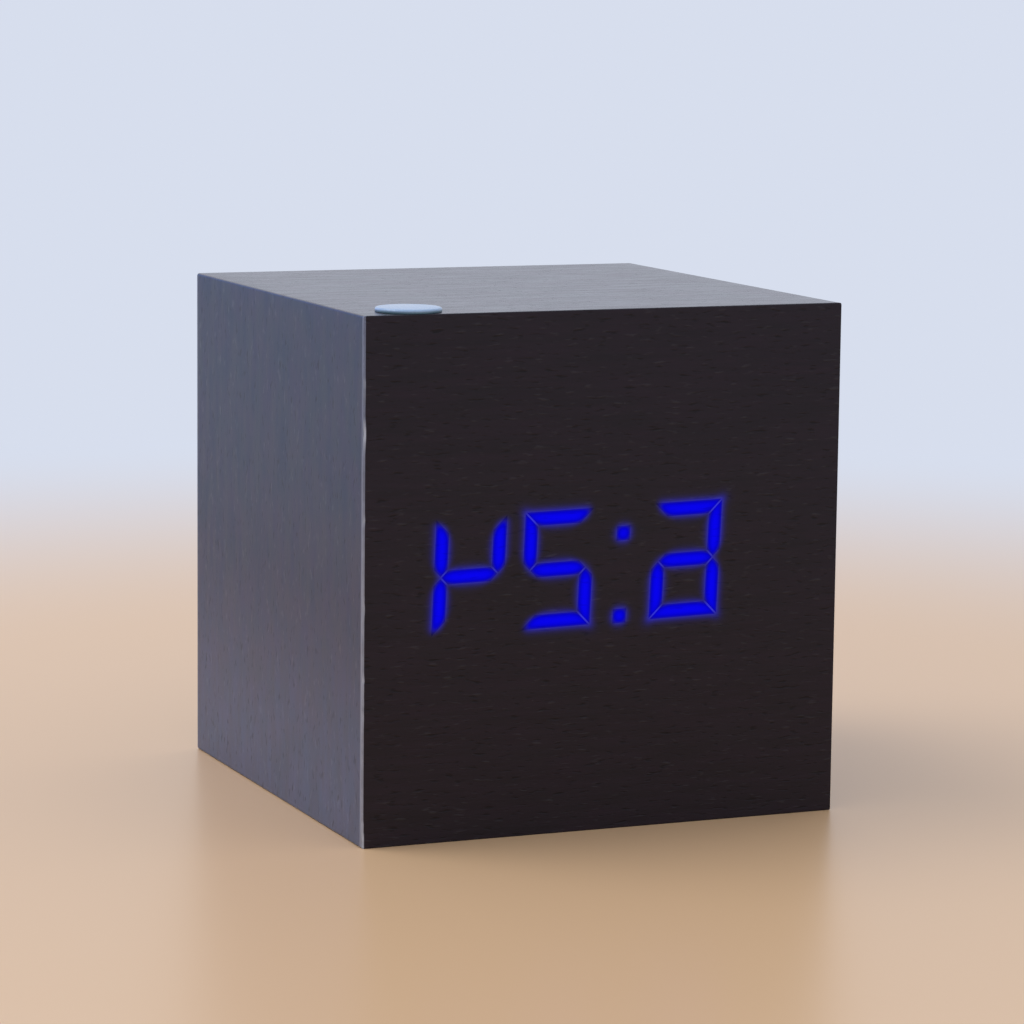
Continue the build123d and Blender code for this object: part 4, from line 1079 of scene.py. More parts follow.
# Each foil's grain. length, width: of a dash. dark: share of its colour that a dark dash keeps.
# pale, blotch: colours that light dashes and blotches add. streak_low, streak_high: least and
# greatest factor of a streak. wear, speck: strength of the rubbing and the specks. speck_cell:
# distance between specks. pore_rough: roughness that a dark dash adds. relief: depth of it all
FRONT_GRAIN = {
    "length": 1.7 * MM, "width": 0.38 * MM, "dark": 0.30, "pale": (0.0120, 0.0130, 0.0135),
    "blotch": (0.0016, 0.0, 0.0012), "streak_low": 0.72, "streak_high": 1.24, "wear": 0.0,
    "speck": 0.25, "speck_cell": 2.8 * MM, "pore_rough": 0.12, "relief": 30 * MICRON,
}
REAR_GRAIN = {
    "length": 2.1 * MM, "width": 0.21 * MM, "dark": 0.45, "pale": (0.0160, 0.0160, 0.0170),
    "blotch": (0.0016, 0.0, 0.0012), "streak_low": 0.84, "streak_high": 1.18, "wear": 0.35,
    "speck": 0.3, "speck_cell": 3.4 * MM, "pore_rough": 0.12, "relief": 22 * MICRON,
}
SIDE_GRAIN = {
    "length": 1.3 * MM, "width": 0.70 * MM, "dark": 0.58, "pale": (0.0260, 0.0270, 0.0280),
    "blotch": (0.0120, 0.0010, 0.0060), "streak_low": 0.80, "streak_high": 1.22, "wear": 0.8,
    "speck": 0.9, "speck_cell": 4.2 * MM, "pore_rough": 0.04, "relief": 8 * MICRON,
}
TOP_GRAIN = {
    "length": 1.2 * MM, "width": 0.70 * MM, "dark": 0.55, "pale": (0.0320, 0.0320, 0.0330),
    "blotch": (0.0110, 0.0, 0.0070), "streak_low": 0.80, "streak_high": 1.22, "wear": 0.9,
    "speck": 0.6, "speck_cell": 4.2 * MM, "pore_rough": 0.05, "relief": 9 * MICRON,
}

# Values that a soft noise mostly stays within
NOISE_SPAN = (0.3, 0.7)
# Every foil: the reach and patch size of its wear, the share of lattice cells with a speck, how
# far streaks change its roughness, and the tones of rubbed and specked foil, each as a factor and
# a lift
WEAR_REACH, WEAR_PATCH, SPECK_SHARE, STREAK_ROUGH = 0.45 * MM, 4 * MM, 0.16, 0.03
RUBBED_TONE, SPECK_TONE = (2.2, 0.02), (3.0, 0.03)
# Heights, as shares of the case's, between which the side foil and the film's cut edge change to
# their paler colours near the base, a painted reflection of the floor
SIDE_REFLECTION_DROP, EDGE_REFLECTION_DROP = (0.50, 0.04), (0.9, 0.4)


def height_step(tree, height, shares):
    """A smooth step between two heights that are given as shares of the case's."""
    return ramp(tree, height, shares[0] * CASE_TOP, shares[1] * CASE_TOP)


def wood_finish(name, base, settings, upright=False, roughness=0.42, specular=0.5, seed=0.0,
                floor_reflection_base=None):
    """Satin wood-grain foil: grain in its tone, sheen and relief, rubbed at the edges.

    Blotches add to the foil's colour, streaks and dark dashes multiply it, and light dashes add
    to that. With a second colour, the foil changes to it towards the base, a painted reflection of
    the floor. Returns the material, its tree, shader and coordinates, and the colour that feeds it.
    """
    material, tree, shader, place = new_finish(name, roughness=roughness, specular=specular)
    x, y, z = parts_of(tree, place)
    along = vector_of(tree, z, y, x) if upright else place
    grain = place_effect(
        tree, "grain", Position=along, Dash_length=settings["length"],
        Dash_width=settings["width"], Seed=seed)
    low, high = CAD_BOX
    centre = ((low[0] + high[0]) / 2, (low[1] + high[1]) / 2, CASE_TOP / 2)
    half = ((high[0] - low[0]) / 2, (high[1] - low[1]) / 2, CASE_TOP / 2)
    wear = place_effect(
        tree, "wear", Position=place, Centre=centre, Half_size=half, Reach=WEAR_REACH,
        Patch=WEAR_PATCH, Seed=seed)
    speck = place_effect(
        tree, "speck", Position=place, Cell=settings["speck_cell"], Share=SPECK_SHARE, Seed=seed)
    foil = tuple(base)
    # Painted reflection of the floor: the foil fades to a paler colour towards the base
    if floor_reflection_base is not None:
        foil = blend(tree, height_step(tree, z, SIDE_REFLECTION_DROP), colour(base), colour(floor_reflection_base))
    blotch = blend(tree, grain["Blotch"], BLACK, colour(settings["blotch"]))
    body = vector_calc(tree, "ADD", foil, blotch)
    shade = ramp(
        tree, grain["Streak"], *NOISE_SPAN, settings["streak_low"], settings["streak_high"])
    shade = between(tree, grain["Dark"], shade, settings["dark"])
    body = vector_calc(tree, "MULTIPLY", body, shade)
    pale = blend(tree, grain["Light"], BLACK, colour(settings["pale"]))
    body = vector_calc(tree, "ADD", body, pale)
    rubbed = calc(tree, "MULTIPLY", wear["Wear"], settings["wear"])
    body = blend(tree, rubbed, body, shaded(base, *RUBBED_TONE))
    specked = calc(tree, "MULTIPLY", speck["Speck"], settings["speck"])
    body = blend(tree, specked, body, shaded(base, *SPECK_TONE))
    feed(tree, shader.inputs["Base Color"], body)
    pores = calc(tree, "MULTIPLY", grain["Dark"], settings["pore_rough"])
    sheen = ramp(
        tree, grain["Streak"], *NOISE_SPAN, roughness - STREAK_ROUGH, roughness + STREAK_ROUGH)
    feed(tree, shader.inputs["Roughness"], calc(tree, "ADD", pores, sheen))
    bump(tree, shader, grain["Height"], settings["relief"])
    return material, tree, shader, place, body


def edge_tone(tree, height, colours):
    """Colour of the film's cut edge, partly a painted highlight, and paler towards the base as a
    painted reflection of the floor.
    """
    drop = height_step(tree, height, EDGE_REFLECTION_DROP)
    return blend(tree, drop, colour(colours.edge), colour(colours.edge_floor_reflection))


# The pale cut edge of the film, partly a painted highlight: how far behind the front it starts and
# is full, how far from the left side it ends and is full, and the noise that breaks it up, with the
# least that it leaves
CUT_BEHIND, CUT_WITHIN = (0.03 * MM, 0.08 * MM), (0.34 * MM, 0.24 * MM)
CUT_WAVES, CUT_TAIL, CUT_LEAST = 420.0, (0.30, 0.62), 0.75
# Tint of the film's gloss, a little short of green
FILM_GLOSS = (1.0, 0.93, 0.98)


def film_finish(colours):
    """The front film: dark level grain, a pale cut left edge that is partly a painted highlight,
    and the light that spreads in it.
    """
    material, tree, shader, place, body = wood_finish(
        "front_film_finish", colours.front, FRONT_GRAIN, roughness=0.46, specular=0.30, seed=2.0)
    shader.inputs["Specular Tint"].default_value = colour(FILM_GLOSS)
    x, y, z = parts_of(tree, place)
    low, _ = corners("front_skin")
    back = ramp(tree, y, low[1] + CUT_BEHIND[0], low[1] + CUT_BEHIND[1])
    left = ramp(tree, x, low[0] + CUT_WITHIN[0], low[0] + CUT_WITHIN[1])
    patch = noise(tree, place, CUT_WAVES, detail=3.0, seed=5.0)
    patch = ramp(tree, patch, *CUT_TAIL, start=CUT_LEAST)
    # Painted highlight: the pale cut edge along the film's left side is partly a highlight painted
    # into its colour
    cut_edge_and_highlight = calc(tree, "MULTIPLY", calc(tree, "MULTIPLY", back, left), patch)
    cut = blend(tree, stored(tree, "nick"), edge_tone(tree, z, colours), colour(colours.nick))
    feed(tree, shader.inputs["Base Color"], blend(tree, cut_edge_and_highlight, body, cut))
    shine(tree, shader, blend(tree, stored(tree, "light"), BLACK, colour(colours.glow)))
    return material


# Cut rear ends of the sleeve boards: distances from the rear where the stain starts and is full,
# its two tones, and the waves of the fibre in it for each metre
STAIN_DEPTHS = (0.10 * MM, 0.03 * MM)
STAIN_DARK, STAIN_LIGHT = colour((0.012, 0.011, 0.011)), colour((0.040, 0.036, 0.034))
FIBRE_WAVES = 2600.0
# Reach and strength of the pale front edge on the sides, which takes the cut edge's tone and its
# painted highlight, and the depths under the foil where the raw board starts and is full
ARRIS_REACH, ARRIS_SHARE = 0.50 * MM, 0.8
FOIL_DEPTHS = (0.5 * MM, 0.6 * MM)


def sleeve_finish(name, colours, base, settings, upright, roughness, specular, seed,
                  floor_reflection_base=None):
    """Foil on a sleeve board, with stained cut ends and raw board inside.

    With a second colour, it also has a pale front edge, as on the two sides, which is partly a
    painted highlight.
    """
    material, tree, shader, place, body = wood_finish(
        name, base, settings, upright, roughness, specular, seed, floor_reflection_base)
    x, y, z = parts_of(tree, place)
    low, high = corners("top_panel")
    end = ramp(tree, y, high[1] - STAIN_DEPTHS[0], high[1] - STAIN_DEPTHS[1])
    fibre = noise(tree, place, FIBRE_WAVES, detail=3.0, seed=4.0)
    body = blend(tree, end, body, blend(tree, fibre, STAIN_DARK, STAIN_LIGHT))
    if floor_reflection_base is not None:
        # Painted highlight: the pale front edge of a side is partly a highlight painted into its
        # colour
        arris = ramp(tree, y, low[1] + ARRIS_REACH, low[1], stop=ARRIS_SHARE)
        body = blend(tree, arris, body, edge_tone(tree, z, colours))
    half = corners("right_side_panel")[1][0]
    across = calc(tree, "SUBTRACT", half, calc(tree, "ABSOLUTE", x))
    middle = calc(tree, "ABSOLUTE", calc(tree, "SUBTRACT", z, CASE_TOP / 2))
    up = calc(tree, "SUBTRACT", CASE_TOP / 2, middle)
    inside = ramp(tree, calc(tree, "MINIMUM", across, up), *FOIL_DEPTHS)
    inside = calc(tree, "MULTIPLY", inside, calc(tree, "SUBTRACT", 1.0, end))
    raw = blend(tree, fibre, shaded(colours.board, 0.8), shaded(colours.board, 1.2))
    feed(tree, shader.inputs["Base Color"], blend(tree, inside, body, raw))
    return material


def fibreboard_finish(colours):
    """Raw fibreboard: packed fibres and a dusty sheen."""
    material, tree, shader, place = new_finish("fibreboard_finish", roughness=0.85, specular=0.3)
    fibre = noise(tree, place, scale=2400.0, detail=4.0, seed=1.0, rough=0.65)
    broad = noise(tree, place, scale=160.0, seed=3.0)
    body = blend(tree, fibre, shaded(colours.board, 0.68), shaded(colours.board, 1.3))
    body = blend(tree, calc(tree, "MULTIPLY", broad, 0.35), body, shaded(colours.board, 0.75))
    feed(tree, shader.inputs["Base Color"], body)
    bump(tree, shader, fibre, 60 * MICRON)
    return material


# Shares of a lit shape's light that a seam and a dark dash of the grain take. Then the light below
# which the plain film starts to show and is full, and the ground colour under brighter light
SEAM_DIM, DASH_DIM = 0.30, 0.14
WEAK_LIGHT = (0.65, 0.22)
LIT_GROUND = colour((0.0005, 0.0005, 0.0020))


def lit_finish(colours):
    """A lit shape: light through the film, barred by its grain, weaker at the rim and the seams."""
    material, tree, shader, place = new_finish("lit_finish", specular=0.0)
    grain = place_effect(
        tree, "grain", Position=place, Dash_length=FRONT_GRAIN["length"],
        Dash_width=FRONT_GRAIN["width"], Seed=2.0)
    light = stored(tree, "light")
    dim = calc(
        tree, "MAXIMUM", calc(tree, "MULTIPLY", stored(tree, "seam"), SEAM_DIM),
        calc(tree, "MULTIPLY", grain["Dark"], DASH_DIM))
    strength = calc(tree, "MULTIPLY", light, calc(tree, "SUBTRACT", 1.0, dim))
    shine(tree, shader, blend(tree, strength, BLACK, colour(colours.lit)))
    weak = ramp(tree, light, *WEAK_LIGHT)
    feed(tree, shader.inputs["Base Color"], blend(tree, weak, LIT_GROUND, colour(colours.seen)))
    bump(tree, shader, grain["Height"], 10 * MICRON)
    return material


# Height where the dot's pale face starts over the painted shade of its rim, as a share of the
# dot's, and how far below the top it is full
FACE_START, FACE_FULL = 0.15, 0.16 * MM


def dot_finish(colours):
    """Pale translucent resin with painted shade on its rim, and a soft gloss."""
    material, tree, shader, place = new_finish("dot_finish", roughness=0.22, coat=0.3)
    low, high = corners("tap_dot")
    height = parts_of(tree, place)[2]
    # Painted shade: below its pale face, the dot's rim is coloured dark teal
    face = ramp(tree, height, low[2] + FACE_START * (high[2] - low[2]), high[2] - FACE_FULL)
    cloud = noise(tree, place, scale=350.0, detail=3.0, seed=2.0)
    pale = blend(tree, cloud, shaded(colours.dot, 0.93), shaded(colours.dot, 1.07))
    feed(tree, shader.inputs["Base Color"], blend(tree, face, colour(colours.dot_rim_shade), pale))
    feed(tree, shader.inputs["Roughness"], ramp(tree, cloud, *NOISE_SPAN, 0.18, 0.30))
    bump(tree, shader, noise(tree, place, scale=1500.0, seed=6.0), 6 * MICRON)
    return material


# Moulded plastic: distance between specks of dust, share of lattice cells with one, how much of
# its colour a speck covers, and how much paler it is
DUST_CELL, DUST_SHARE, DUST_COVER, DUST_LIFT = 2.2 * MM, 0.10, 0.25, 0.12


def moulded_finish(name, rgb, roughness, pitch=0.3 * MM, relief=12 * MICRON, seed=0.0, coat=0.0):
    """Moulded plastic: spark texture, uneven sheen and a trace of dust."""
    material, tree, shader, place = new_finish(name, roughness=roughness, coat=coat)
    mould = place_effect(tree, "mould", Position=place, Pitch=pitch, Seed=seed)
    speck = place_effect(
        tree, "speck", Position=place, Cell=DUST_CELL, Share=DUST_SHARE, Seed=seed)
    body = blend(tree, mould["Patch"], shaded(rgb, 0.86), shaded(rgb, 1.14))
    dust = calc(tree, "MULTIPLY", speck["Speck"], DUST_COVER)
    feed(tree, shader.inputs["Base Color"], blend(tree, dust, body, shaded(rgb, 1.0, DUST_LIFT)))
    sheen = ramp(tree, mould["Patch"], *NOISE_SPAN, roughness - 0.05, roughness + 0.06)
    feed(tree, shader.inputs["Roughness"], sheen)
    bump(tree, shader, mould["Height"], relief)
    return material


def metal_finish(name, rgb, roughness, seed=0.0):
    """Plated metal: fine scratches, and tarnish that dulls it in patches."""
    material, tree, shader, place = new_finish(name, roughness=roughness, metallic=1.0)
    brushed = place_effect(tree, "brushed", Position=place, Pitch=0.08 * MM, Seed=seed)
    dull = calc(tree, "MULTIPLY", brushed["Tarnish"], 0.5)
    feed(tree, shader.inputs["Base Color"], blend(tree, dull, colour(rgb), shaded(rgb, 0.6)))
    sheen = ramp(tree, brushed["Tarnish"], 0.0, 1.0, roughness, roughness + 0.18)
    feed(tree, shader.inputs["Roughness"], sheen)
    bump(tree, shader, brushed["Height"], 3 * MICRON)
    return material


# Colours of a circuit board: bare mask, mask over a track, and a pad
SOLDER_MASK, OVER_COPPER = colour((0.012, 0.085, 0.035)), colour((0.030, 0.160, 0.060))
TINNED = colour((0.62, 0.60, 0.55))


def circuit_finish():
    """Solder mask over copper tracks, with tinned pads."""
    material, tree, shader, place = new_finish("circuit_finish", roughness=0.32, coat=0.4)
    tracks = place_effect(tree, "track", Position=place, Pitch=0.6 * MM)
    body = blend(tree, tracks["Track"], SOLDER_MASK, OVER_COPPER)
    feed(tree, shader.inputs["Base Color"], blend(tree, tracks["Pad"], body, TINNED))
    feed(tree, shader.inputs["Metallic"], tracks["Pad"])
    bump(tree, shader, calc(tree, "MAXIMUM", tracks["Track"], tracks["Pad"]), 30 * MICRON)
    return material


# Distances from a cell's ends where the jacket ends and the bare metal is full, and the colours of
# both
JACKET_EDGES = (1.75 * MM, 1.65 * MM)
JACKET_DARK, JACKET_LIGHT = colour((0.070, 0.080, 0.095)), colour((0.095, 0.105, 0.120))
BARE_CAN = colour((0.66, 0.65, 0.63))


def cell_finish():
    """Plain satin jacket on a cell, with bright bare metal at both ends."""
    material, tree, shader, place = new_finish("cell_finish", roughness=0.32, coat=0.2)
    low, high = corners("battery_cells")
    middle = (low[0] + high[0]) / 2
    half = (high[0] - low[0]) / 2
    out = calc(tree, "ABSOLUTE", calc(tree, "SUBTRACT", parts_of(tree, place)[0], middle))
    bare = ramp(tree, out, half - JACKET_EDGES[0], half - JACKET_EDGES[1])
    brushed = place_effect(tree, "brushed", Position=place, Pitch=0.12 * MM, Seed=3.0)
    jacket = blend(tree, brushed["Tarnish"], JACKET_DARK, JACKET_LIGHT)
    feed(tree, shader.inputs["Base Color"], blend(tree, bare, jacket, BARE_CAN))
    feed(tree, shader.inputs["Metallic"], bare)
    feed(tree, shader.inputs["Roughness"], ramp(tree, brushed["Tarnish"], 0.0, 1.0, 0.26, 0.40))
    bump(tree, shader, brushed["Height"], 4 * MICRON)
    return material


def resin_finish(name, rgb):
    """Cast milky resin: cloudy, soft gloss."""
    material, tree, shader, place = new_finish(name, roughness=0.35)
    cloud = noise(tree, place, scale=900.0, detail=3.0, seed=2.0)
    feed(tree, shader.inputs["Base Color"], blend(tree, cloud, shaded(rgb, 0.85), colour(rgb)))
    bump(tree, shader, cloud, 10 * MICRON)
    return material


def insulation_finish(name, rgb):
    """Wire insulation: drawn lengthways, faintly dusty."""
    material, tree, shader, place = new_finish(name, roughness=0.42)
    mould = place_effect(tree, "mould", Position=place, Pitch=0.2 * MM, Seed=4.0)
    body = blend(tree, mould["Patch"], shaded(rgb, 0.8), shaded(rgb, 1.2))
    feed(tree, shader.inputs["Base Color"], body)
    bump(tree, shader, mould["Height"], 8 * MICRON)
    return material


# The flat cable: its wires, the painted shade in the grooves between them, the colour on them, and
# the marked one
RIBBON_WIRES = 8
RIBBON_GROOVE_SHADE, RIBBON_TOP = colour((0.16, 0.16, 0.17)), colour((0.30, 0.30, 0.32))
RIBBON_MARK = colour((0.38, 0.05, 0.05))


def ribbon_finish():
    """Flat cable: its wires side by side with painted shade in the grooves between them, and one
    marked edge.
    """
    material, tree, shader, place = new_finish("ribbon_finish", roughness=0.45)
    low, high = corners("ribbon_cable")
    across = calc(tree, "SUBTRACT", parts_of(tree, place)[0], low[0])
    wire = calc(tree, "DIVIDE", across, (high[0] - low[0]) / RIBBON_WIRES)
    # Painted shade: the grooves between the wires are darker than their crowns
    crown_and_groove_shade = ramp(tree, calc(tree, "PINGPONG", wire, 0.5), 0.0, 0.2)
    body = blend(tree, crown_and_groove_shade, RIBBON_GROOVE_SHADE, RIBBON_TOP)
    first = calc(tree, "LESS_THAN", wire, 1.0)
    feed(tree, shader.inputs["Base Color"], blend(tree, first, body, RIBBON_MARK))
    bump(tree, shader, crown_and_groove_shade, 100 * MICRON)
    return material


def slot_finishes(colours):
    """One finish for each material slot of the record."""
    rear = wood_finish(
        "rear_foil_finish", colours.rear, REAR_GRAIN, roughness=0.45, specular=0.4, seed=41.0)
    return {
        "black_wood_front": film_finish(colours),
        # The sides take the blue side colour, a painted cool reflection, and a paler colour towards
        # the base, a painted reflection of the floor
        "black_wood_side": sleeve_finish(
            "side_foil_finish", colours, colours.side, SIDE_GRAIN, upright=True, roughness=0.38,
            specular=0.43, seed=11.0, floor_reflection_base=colours.side_floor_reflection),
        # The top and the base take the paler top colour, a painted sheen
        "black_wood_top": sleeve_finish(
            "top_foil_finish", colours, colours.top, TOP_GRAIN, upright=False, roughness=0.24,
            specular=0.85, seed=23.0),
        "black_wood_base": sleeve_finish(
            "base_foil_finish", colours, colours.top, TOP_GRAIN, upright=False, roughness=0.38,
            specular=0.5, seed=31.0),
        "black_wood_rear": rear[0],
        "raw_fibreboard": fibreboard_finish(colours),
        "lit_blue": lit_finish(colours),
        "pale_dot": dot_finish(colours),
        "white_plastic": moulded_finish("white_plastic_finish", (0.78, 0.78, 0.76), 0.40),
        "milky_resin": resin_finish("diffuser_finish", (0.72, 0.76, 0.82)),
        "led_lens": resin_finish("lamp_finish", (0.66, 0.72, 0.88)),
        "circuit_board": circuit_finish(),
        "plated_screw": metal_finish("plated_screw_finish", (0.60, 0.60, 0.61), 0.28),
        "black_screw": metal_finish("black_screw_finish", (0.045, 0.045, 0.050), 0.34, seed=2.0),
        "ribbon_grey": ribbon_finish(),
        "black_plastic": moulded_finish("black_plastic_finish", (0.018, 0.018, 0.019), 0.48),
        "button_plastic": moulded_finish(
            "button_finish", (0.022, 0.022, 0.024), 0.36, pitch=0.22 * MM, relief=6 * MICRON,
            seed=5.0),
        "switch_plunger": moulded_finish("plunger_finish", (0.045, 0.045, 0.047), 0.45),
        "jack_plastic": moulded_finish(
            "jack_finish", (0.016, 0.016, 0.017), 0.25, pitch=0.5 * MM, relief=4 * MICRON,
            seed=6.0, coat=0.3),
        "contact_metal": metal_finish("contact_finish", (0.70, 0.68, 0.63), 0.22, seed=5.0),
        "sensor_glass": moulded_finish("sensor_finish", (0.03, 0.03, 0.03), 0.18, coat=0.6),
        "chip_epoxy": moulded_finish(
            "chip_finish", (0.024, 0.024, 0.026), 0.55, pitch=0.12 * MM),
        "cell_steel": metal_finish("steel_can_finish", (0.62, 0.62, 0.63), 0.26, seed=7.0),
        "capacitor_sleeve": moulded_finish("capacitor_finish", (0.02, 0.03, 0.09), 0.30, coat=0.4),
        "ceramic_chip": resin_finish("ceramic_finish", (0.42, 0.33, 0.23)),
        "tray_plastic": moulded_finish(
            "tray_finish", (0.020, 0.020, 0.021), 0.50, pitch=0.35 * MM, relief=30 * MICRON,
            seed=8.0),
        "cell_jacket": cell_finish(),
        "socket_nylon": moulded_finish("nylon_finish", (0.72, 0.70, 0.63), 0.42),
        "black_wire": insulation_finish("black_wire_finish", (0.018, 0.018, 0.018)),
        "red_wire": insulation_finish("red_wire_finish", (0.42, 0.020, 0.018)),
    }


def finish_nodes(finishes):
    """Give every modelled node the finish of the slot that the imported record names."""
    for row in frame["record"]["subparts"]:
        materials = NODES[row["node"]].data.materials
        materials.clear()
        materials.append(finishes[row["material_slot"]])


def shown_light(tree, stage):
    """Backdrop colour for rays that see or mirror it, and the plain fill for the rest."""
    path = tree.nodes.new("ShaderNodeLightPath")
    seen = calc(tree, "ADD", path.outputs["Is Camera Ray"], path.outputs["Is Glossy Ray"])
    seen = calc(tree, "ADD", seen, path.outputs["Is Transmission Ray"], clamp=True)
    return blend(tree, seen, colour(stage.fill), colour(stage.backdrop))


# Radii of the floor's rings of points, in metres
FLOOR_RINGS = np.array([0.05, 0.11, 0.2, 0.33, 0.6, 1.2, 3.0])


def make_floor(stage):
    """Round floor: rings of points at rising radii, all at the height of the base.

    Its colour fades into the backdrop with the distance from the middle.
    """
    turn = np.linspace(0, 2 * np.pi, stage.floor_round, endpoint=False)
    flat = FLOOR_RINGS[:, None, None] * np.stack([np.cos(turn), np.sin(turn)], -1)
    points = np.concatenate([flat.reshape(-1, 2), [[0.0, 0.0]]])
    points = np.column_stack([points, np.full(len(points), CAD_BOX[0][2])])
    here = np.arange(stage.floor_round)
    after = (here + 1) % stage.floor_round
    middle = np.full(stage.floor_round, len(points) - 1)
    quads = grid_faces(len(FLOOR_RINGS), stage.floor_round, closed=True)[:, ::-1]
    mesh = bpy.data.meshes.new("floor")
    rows = quads.tolist() + np.stack([middle, here, after], -1).tolist()
    mesh.from_pydata(points.tolist(), [], rows)
    floor = bpy.data.objects.new("floor", mesh)
    bpy.context.scene.collection.objects.link(floor)
    material, tree, shader, place = new_finish("floor_finish", roughness=0.32, specular=0.45)
    shader.inputs["Base Color"].default_value = colour(stage.floor)
    flat_place = vector_calc(tree, "MULTIPLY", place, (1.0, 1.0, 0.0))
    distance = add(tree, "ShaderNodeVectorMath", {0: flat_place}, operation="LENGTH")
    fade = ramp(tree, distance.outputs["Value"], stage.floor_reach, stage.floor_fade)
    far = add(tree, "ShaderNodeEmission", {"Color": shown_light(tree, stage)})
    joined = add(tree, "ShaderNodeMixShader", {0: fade, 1: shader.outputs[0], 2: far.outputs[0]})
    feed(tree, tree.nodes["Material Output"].inputs["Surface"], joined.outputs[0])
    mesh.materials.append(material)


def make_world(stage):
    """Backdrop colour for what is seen or mirrored, and a plain fill for the rest."""
    world = bpy.data.worlds.new("pale_world")
    bpy.context.scene.world = world
    world.use_nodes = True
    tree = world.node_tree
    feed(tree, tree.nodes["Background"].inputs["Color"], shown_light(tree, stage))


def make_lamp(name, light, power, width, place):
    """A large soft round lamp that points at the clock and isn't seen itself."""
    lamp = bpy.data.lights.new(name, "AREA")
    lamp.shape = "DISK"
    lamp.size = width
    lamp.energy = power
    lamp.color = light
    lamp_object = bpy.data.objects.new(name, lamp)
    lamp_object.location = place
    ahead = Vector((0, 0, CASE_TOP / 2)) - Vector(place)
    lamp_object.rotation_euler = ahead.to_track_quat("-Z", "Y").to_euler()
    lamp_object.visible_camera = False
    bpy.context.scene.collection.objects.link(lamp_object)


def make_camera(stage):
    """Camera at the photograph's place: turned to the right, lifted, then rolled."""
    turn, lift, roll = stage.camera_turn
    ahead = Vector((
        math.sin(turn) * math.cos(lift), math.cos(turn) * math.cos(lift), math.sin(lift)))
    right = Vector((math.cos(turn), -math.sin(turn), 0))
    up = right.cross(ahead)
    right, up = (
        right * math.cos(roll) + up * math.sin(roll),
        up * math.cos(roll) - right * math.sin(roll))
    data = bpy.data.cameras.new("camera")
    data.lens = stage.camera_lens
    data.sensor_width = stage.camera_sensor
    camera = bpy.data.objects.new("camera", data)
    axes = Matrix((right, up, -ahead)).transposed()
    camera.rotation_euler = axes.to_euler()
    camera.location = stage.camera_place
    bpy.context.scene.collection.objects.link(camera)
    bpy.context.scene.camera = camera


FINISHES = {}


def finishes_of(scene):
    """The finishes, made once from the scene's colours."""
    if not FINISHES:
        FINISHES.update(slot_finishes(scene.clock_colours))
    return FINISHES


class CLOCK_OT_stage(bpy.types.Operator):
    """Set up the floor, the light and the camera"""

    bl_idname = "clock.stage"
    bl_label = "Stage"
    bl_options = {"REGISTER", "UNDO"}

    def execute(self, context):
        stage = context.scene.clock_stage
        context.scene.view_settings.view_transform = "Standard"
        make_floor(stage)
        make_world(stage)
        make_lamp("key_lamp", stage.key, stage.key_power, stage.key_size, stage.key_place)
        make_lamp("side_lamp", stage.side, stage.side_power, stage.side_size, stage.side_place)
        make_camera(stage)
        return {"FINISHED"}


class CLOCK_OT_node_finishes(bpy.types.Operator):
    """Give every modelled node the finish of its material slot"""

    bl_idname = "clock.node_finishes"
    bl_label = "Node finishes"
    bl_options = {"REGISTER", "UNDO"}

    def execute(self, context):
        finish_nodes(finishes_of(context.scene))
        return {"FINISHED"}


class CLOCK_OT_front_film(bpy.types.Operator):
    """Lay the front film, with the light that spreads in it round the lit shapes"""

    bl_idname = "clock.front_film"
    bl_label = "Front film"
    bl_options = {"REGISTER", "UNDO"}

    def execute(self, context):
        finishes = finishes_of(context.scene)
        make_film(context.scene.clock_sizes, finishes["black_wood_front"])
        return {"FINISHED"}


class CLOCK_OT_lit_shapes(bpy.types.Operator):
    """Fill the read-out's lit shapes, bright within and darker at the rim"""

    bl_idname = "clock.lit_shapes"
    bl_label = "Lit shapes"
    bl_options = {"REGISTER", "UNDO"}

    def execute(self, context):
        finishes = finishes_of(context.scene)
        make_lit_shapes(context.scene.clock_sizes, finishes["lit_blue"])
        return {"FINISHED"}


class CLOCK_OT_sleeve(bpy.types.Operator):
    """Build the top and side boards of the sleeve with rounded long edges"""

    bl_idname = "clock.sleeve"
    bl_label = "Sleeve boards"
    bl_options = {"REGISTER", "UNDO"}

    def execute(self, context):
        make_sleeve(context.scene.clock_sizes, finishes_of(context.scene))
        return {"FINISHED"}


class CLOCK_OT_tap_dot(bpy.types.Operator):
    """Set the pale dot on the top"""

    bl_idname = "clock.tap_dot"
    bl_label = "Tap dot"
    bl_options = {"REGISTER", "UNDO"}

    def execute(self, context):
        make_dot(context.scene.clock_sizes, finishes_of(context.scene)["pale_dot"])
        return {"FINISHED"}


class CLOCK_OT_buttons(bpy.types.Operator):
    """Build the three rear buttons with dished faces"""

    bl_idname = "clock.buttons"
    bl_label = "Rear buttons"
    bl_options = {"REGISTER", "UNDO"}

    def execute(self, context):
        finishes = finishes_of(context.scene)
        make_buttons(context.scene.clock_sizes, finishes["button_plastic"])
        return {"FINISHED"}


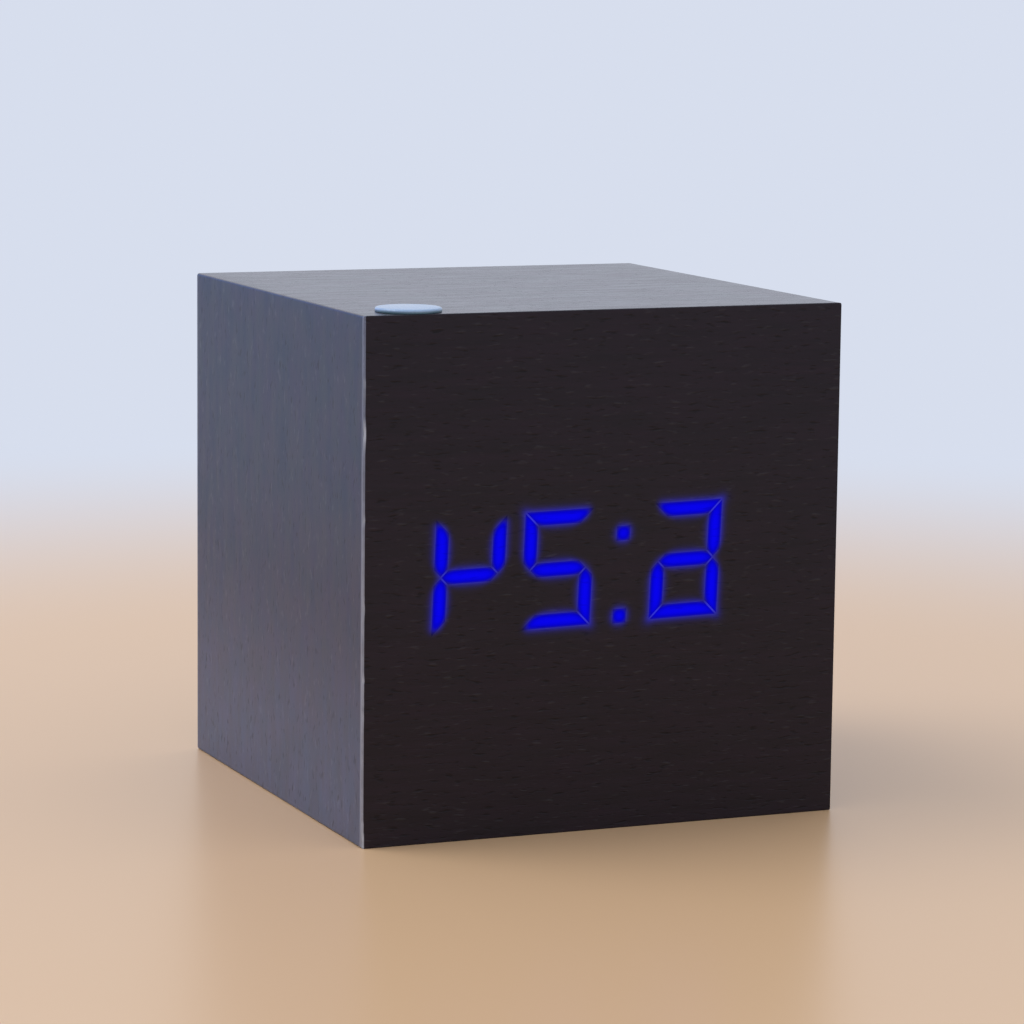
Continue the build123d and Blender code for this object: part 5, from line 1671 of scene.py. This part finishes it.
class CLOCK_OT_cells(bpy.types.Operator):
    """Build the three battery cells with their jackets and caps"""

    bl_idname = "clock.cells"
    bl_label = "Battery cells"
    bl_options = {"REGISTER", "UNDO"}

    def execute(self, context):
        make_cells(context.scene.clock_sizes, finishes_of(context.scene)["cell_jacket"])
        return {"FINISHED"}


OPERATORS = (
    CLOCK_OT_stage, CLOCK_OT_node_finishes, CLOCK_OT_front_film, CLOCK_OT_lit_shapes,
    CLOCK_OT_sleeve, CLOCK_OT_tap_dot, CLOCK_OT_buttons, CLOCK_OT_cells,
)


class CLOCK_PT_pieces(bpy.types.Panel):
    """Lists the steps and their sizes in the sidebar"""

    bl_idname = "CLOCK_PT_pieces"
    bl_label = "Cube desk clock"
    bl_space_type = "VIEW_3D"
    bl_region_type = "UI"
    bl_category = "Clock"

    def draw(self, context):
        scene = context.scene
        for step in OPERATORS:
            self.layout.operator(step.bl_idname)
        for group in (scene.clock_sizes, scene.clock_colours, scene.clock_stage):
            box = self.layout.box()
            for name in group.bl_rna.properties.keys():
                if name not in ("rna_type", "name"):
                    box.prop(group, name)


CLASSES = (ClockSizes, ClockColours, ClockStage, *OPERATORS, CLOCK_PT_pieces)


def register():
    """Register the classes and hang the settings on the scene."""
    for item in CLASSES:
        bpy.utils.register_class(item)
    bpy.types.Scene.clock_sizes = PointerProperty(type=ClockSizes)
    bpy.types.Scene.clock_colours = PointerProperty(type=ClockColours)
    bpy.types.Scene.clock_stage = PointerProperty(type=ClockStage)


def unregister():
    """Take the settings and the classes away again."""
    del bpy.types.Scene.clock_stage
    del bpy.types.Scene.clock_colours
    del bpy.types.Scene.clock_sizes
    for item in reversed(CLASSES):
        bpy.utils.unregister_class(item)


def main():
    """Register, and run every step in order."""
    register()
    bpy.ops.clock.stage()
    bpy.ops.clock.node_finishes()
    bpy.ops.clock.front_film()
    bpy.ops.clock.lit_shapes()
    bpy.ops.clock.sleeve()
    bpy.ops.clock.tap_dot()
    bpy.ops.clock.buttons()
    bpy.ops.clock.cells()


if __name__ == "__main__":
    main()
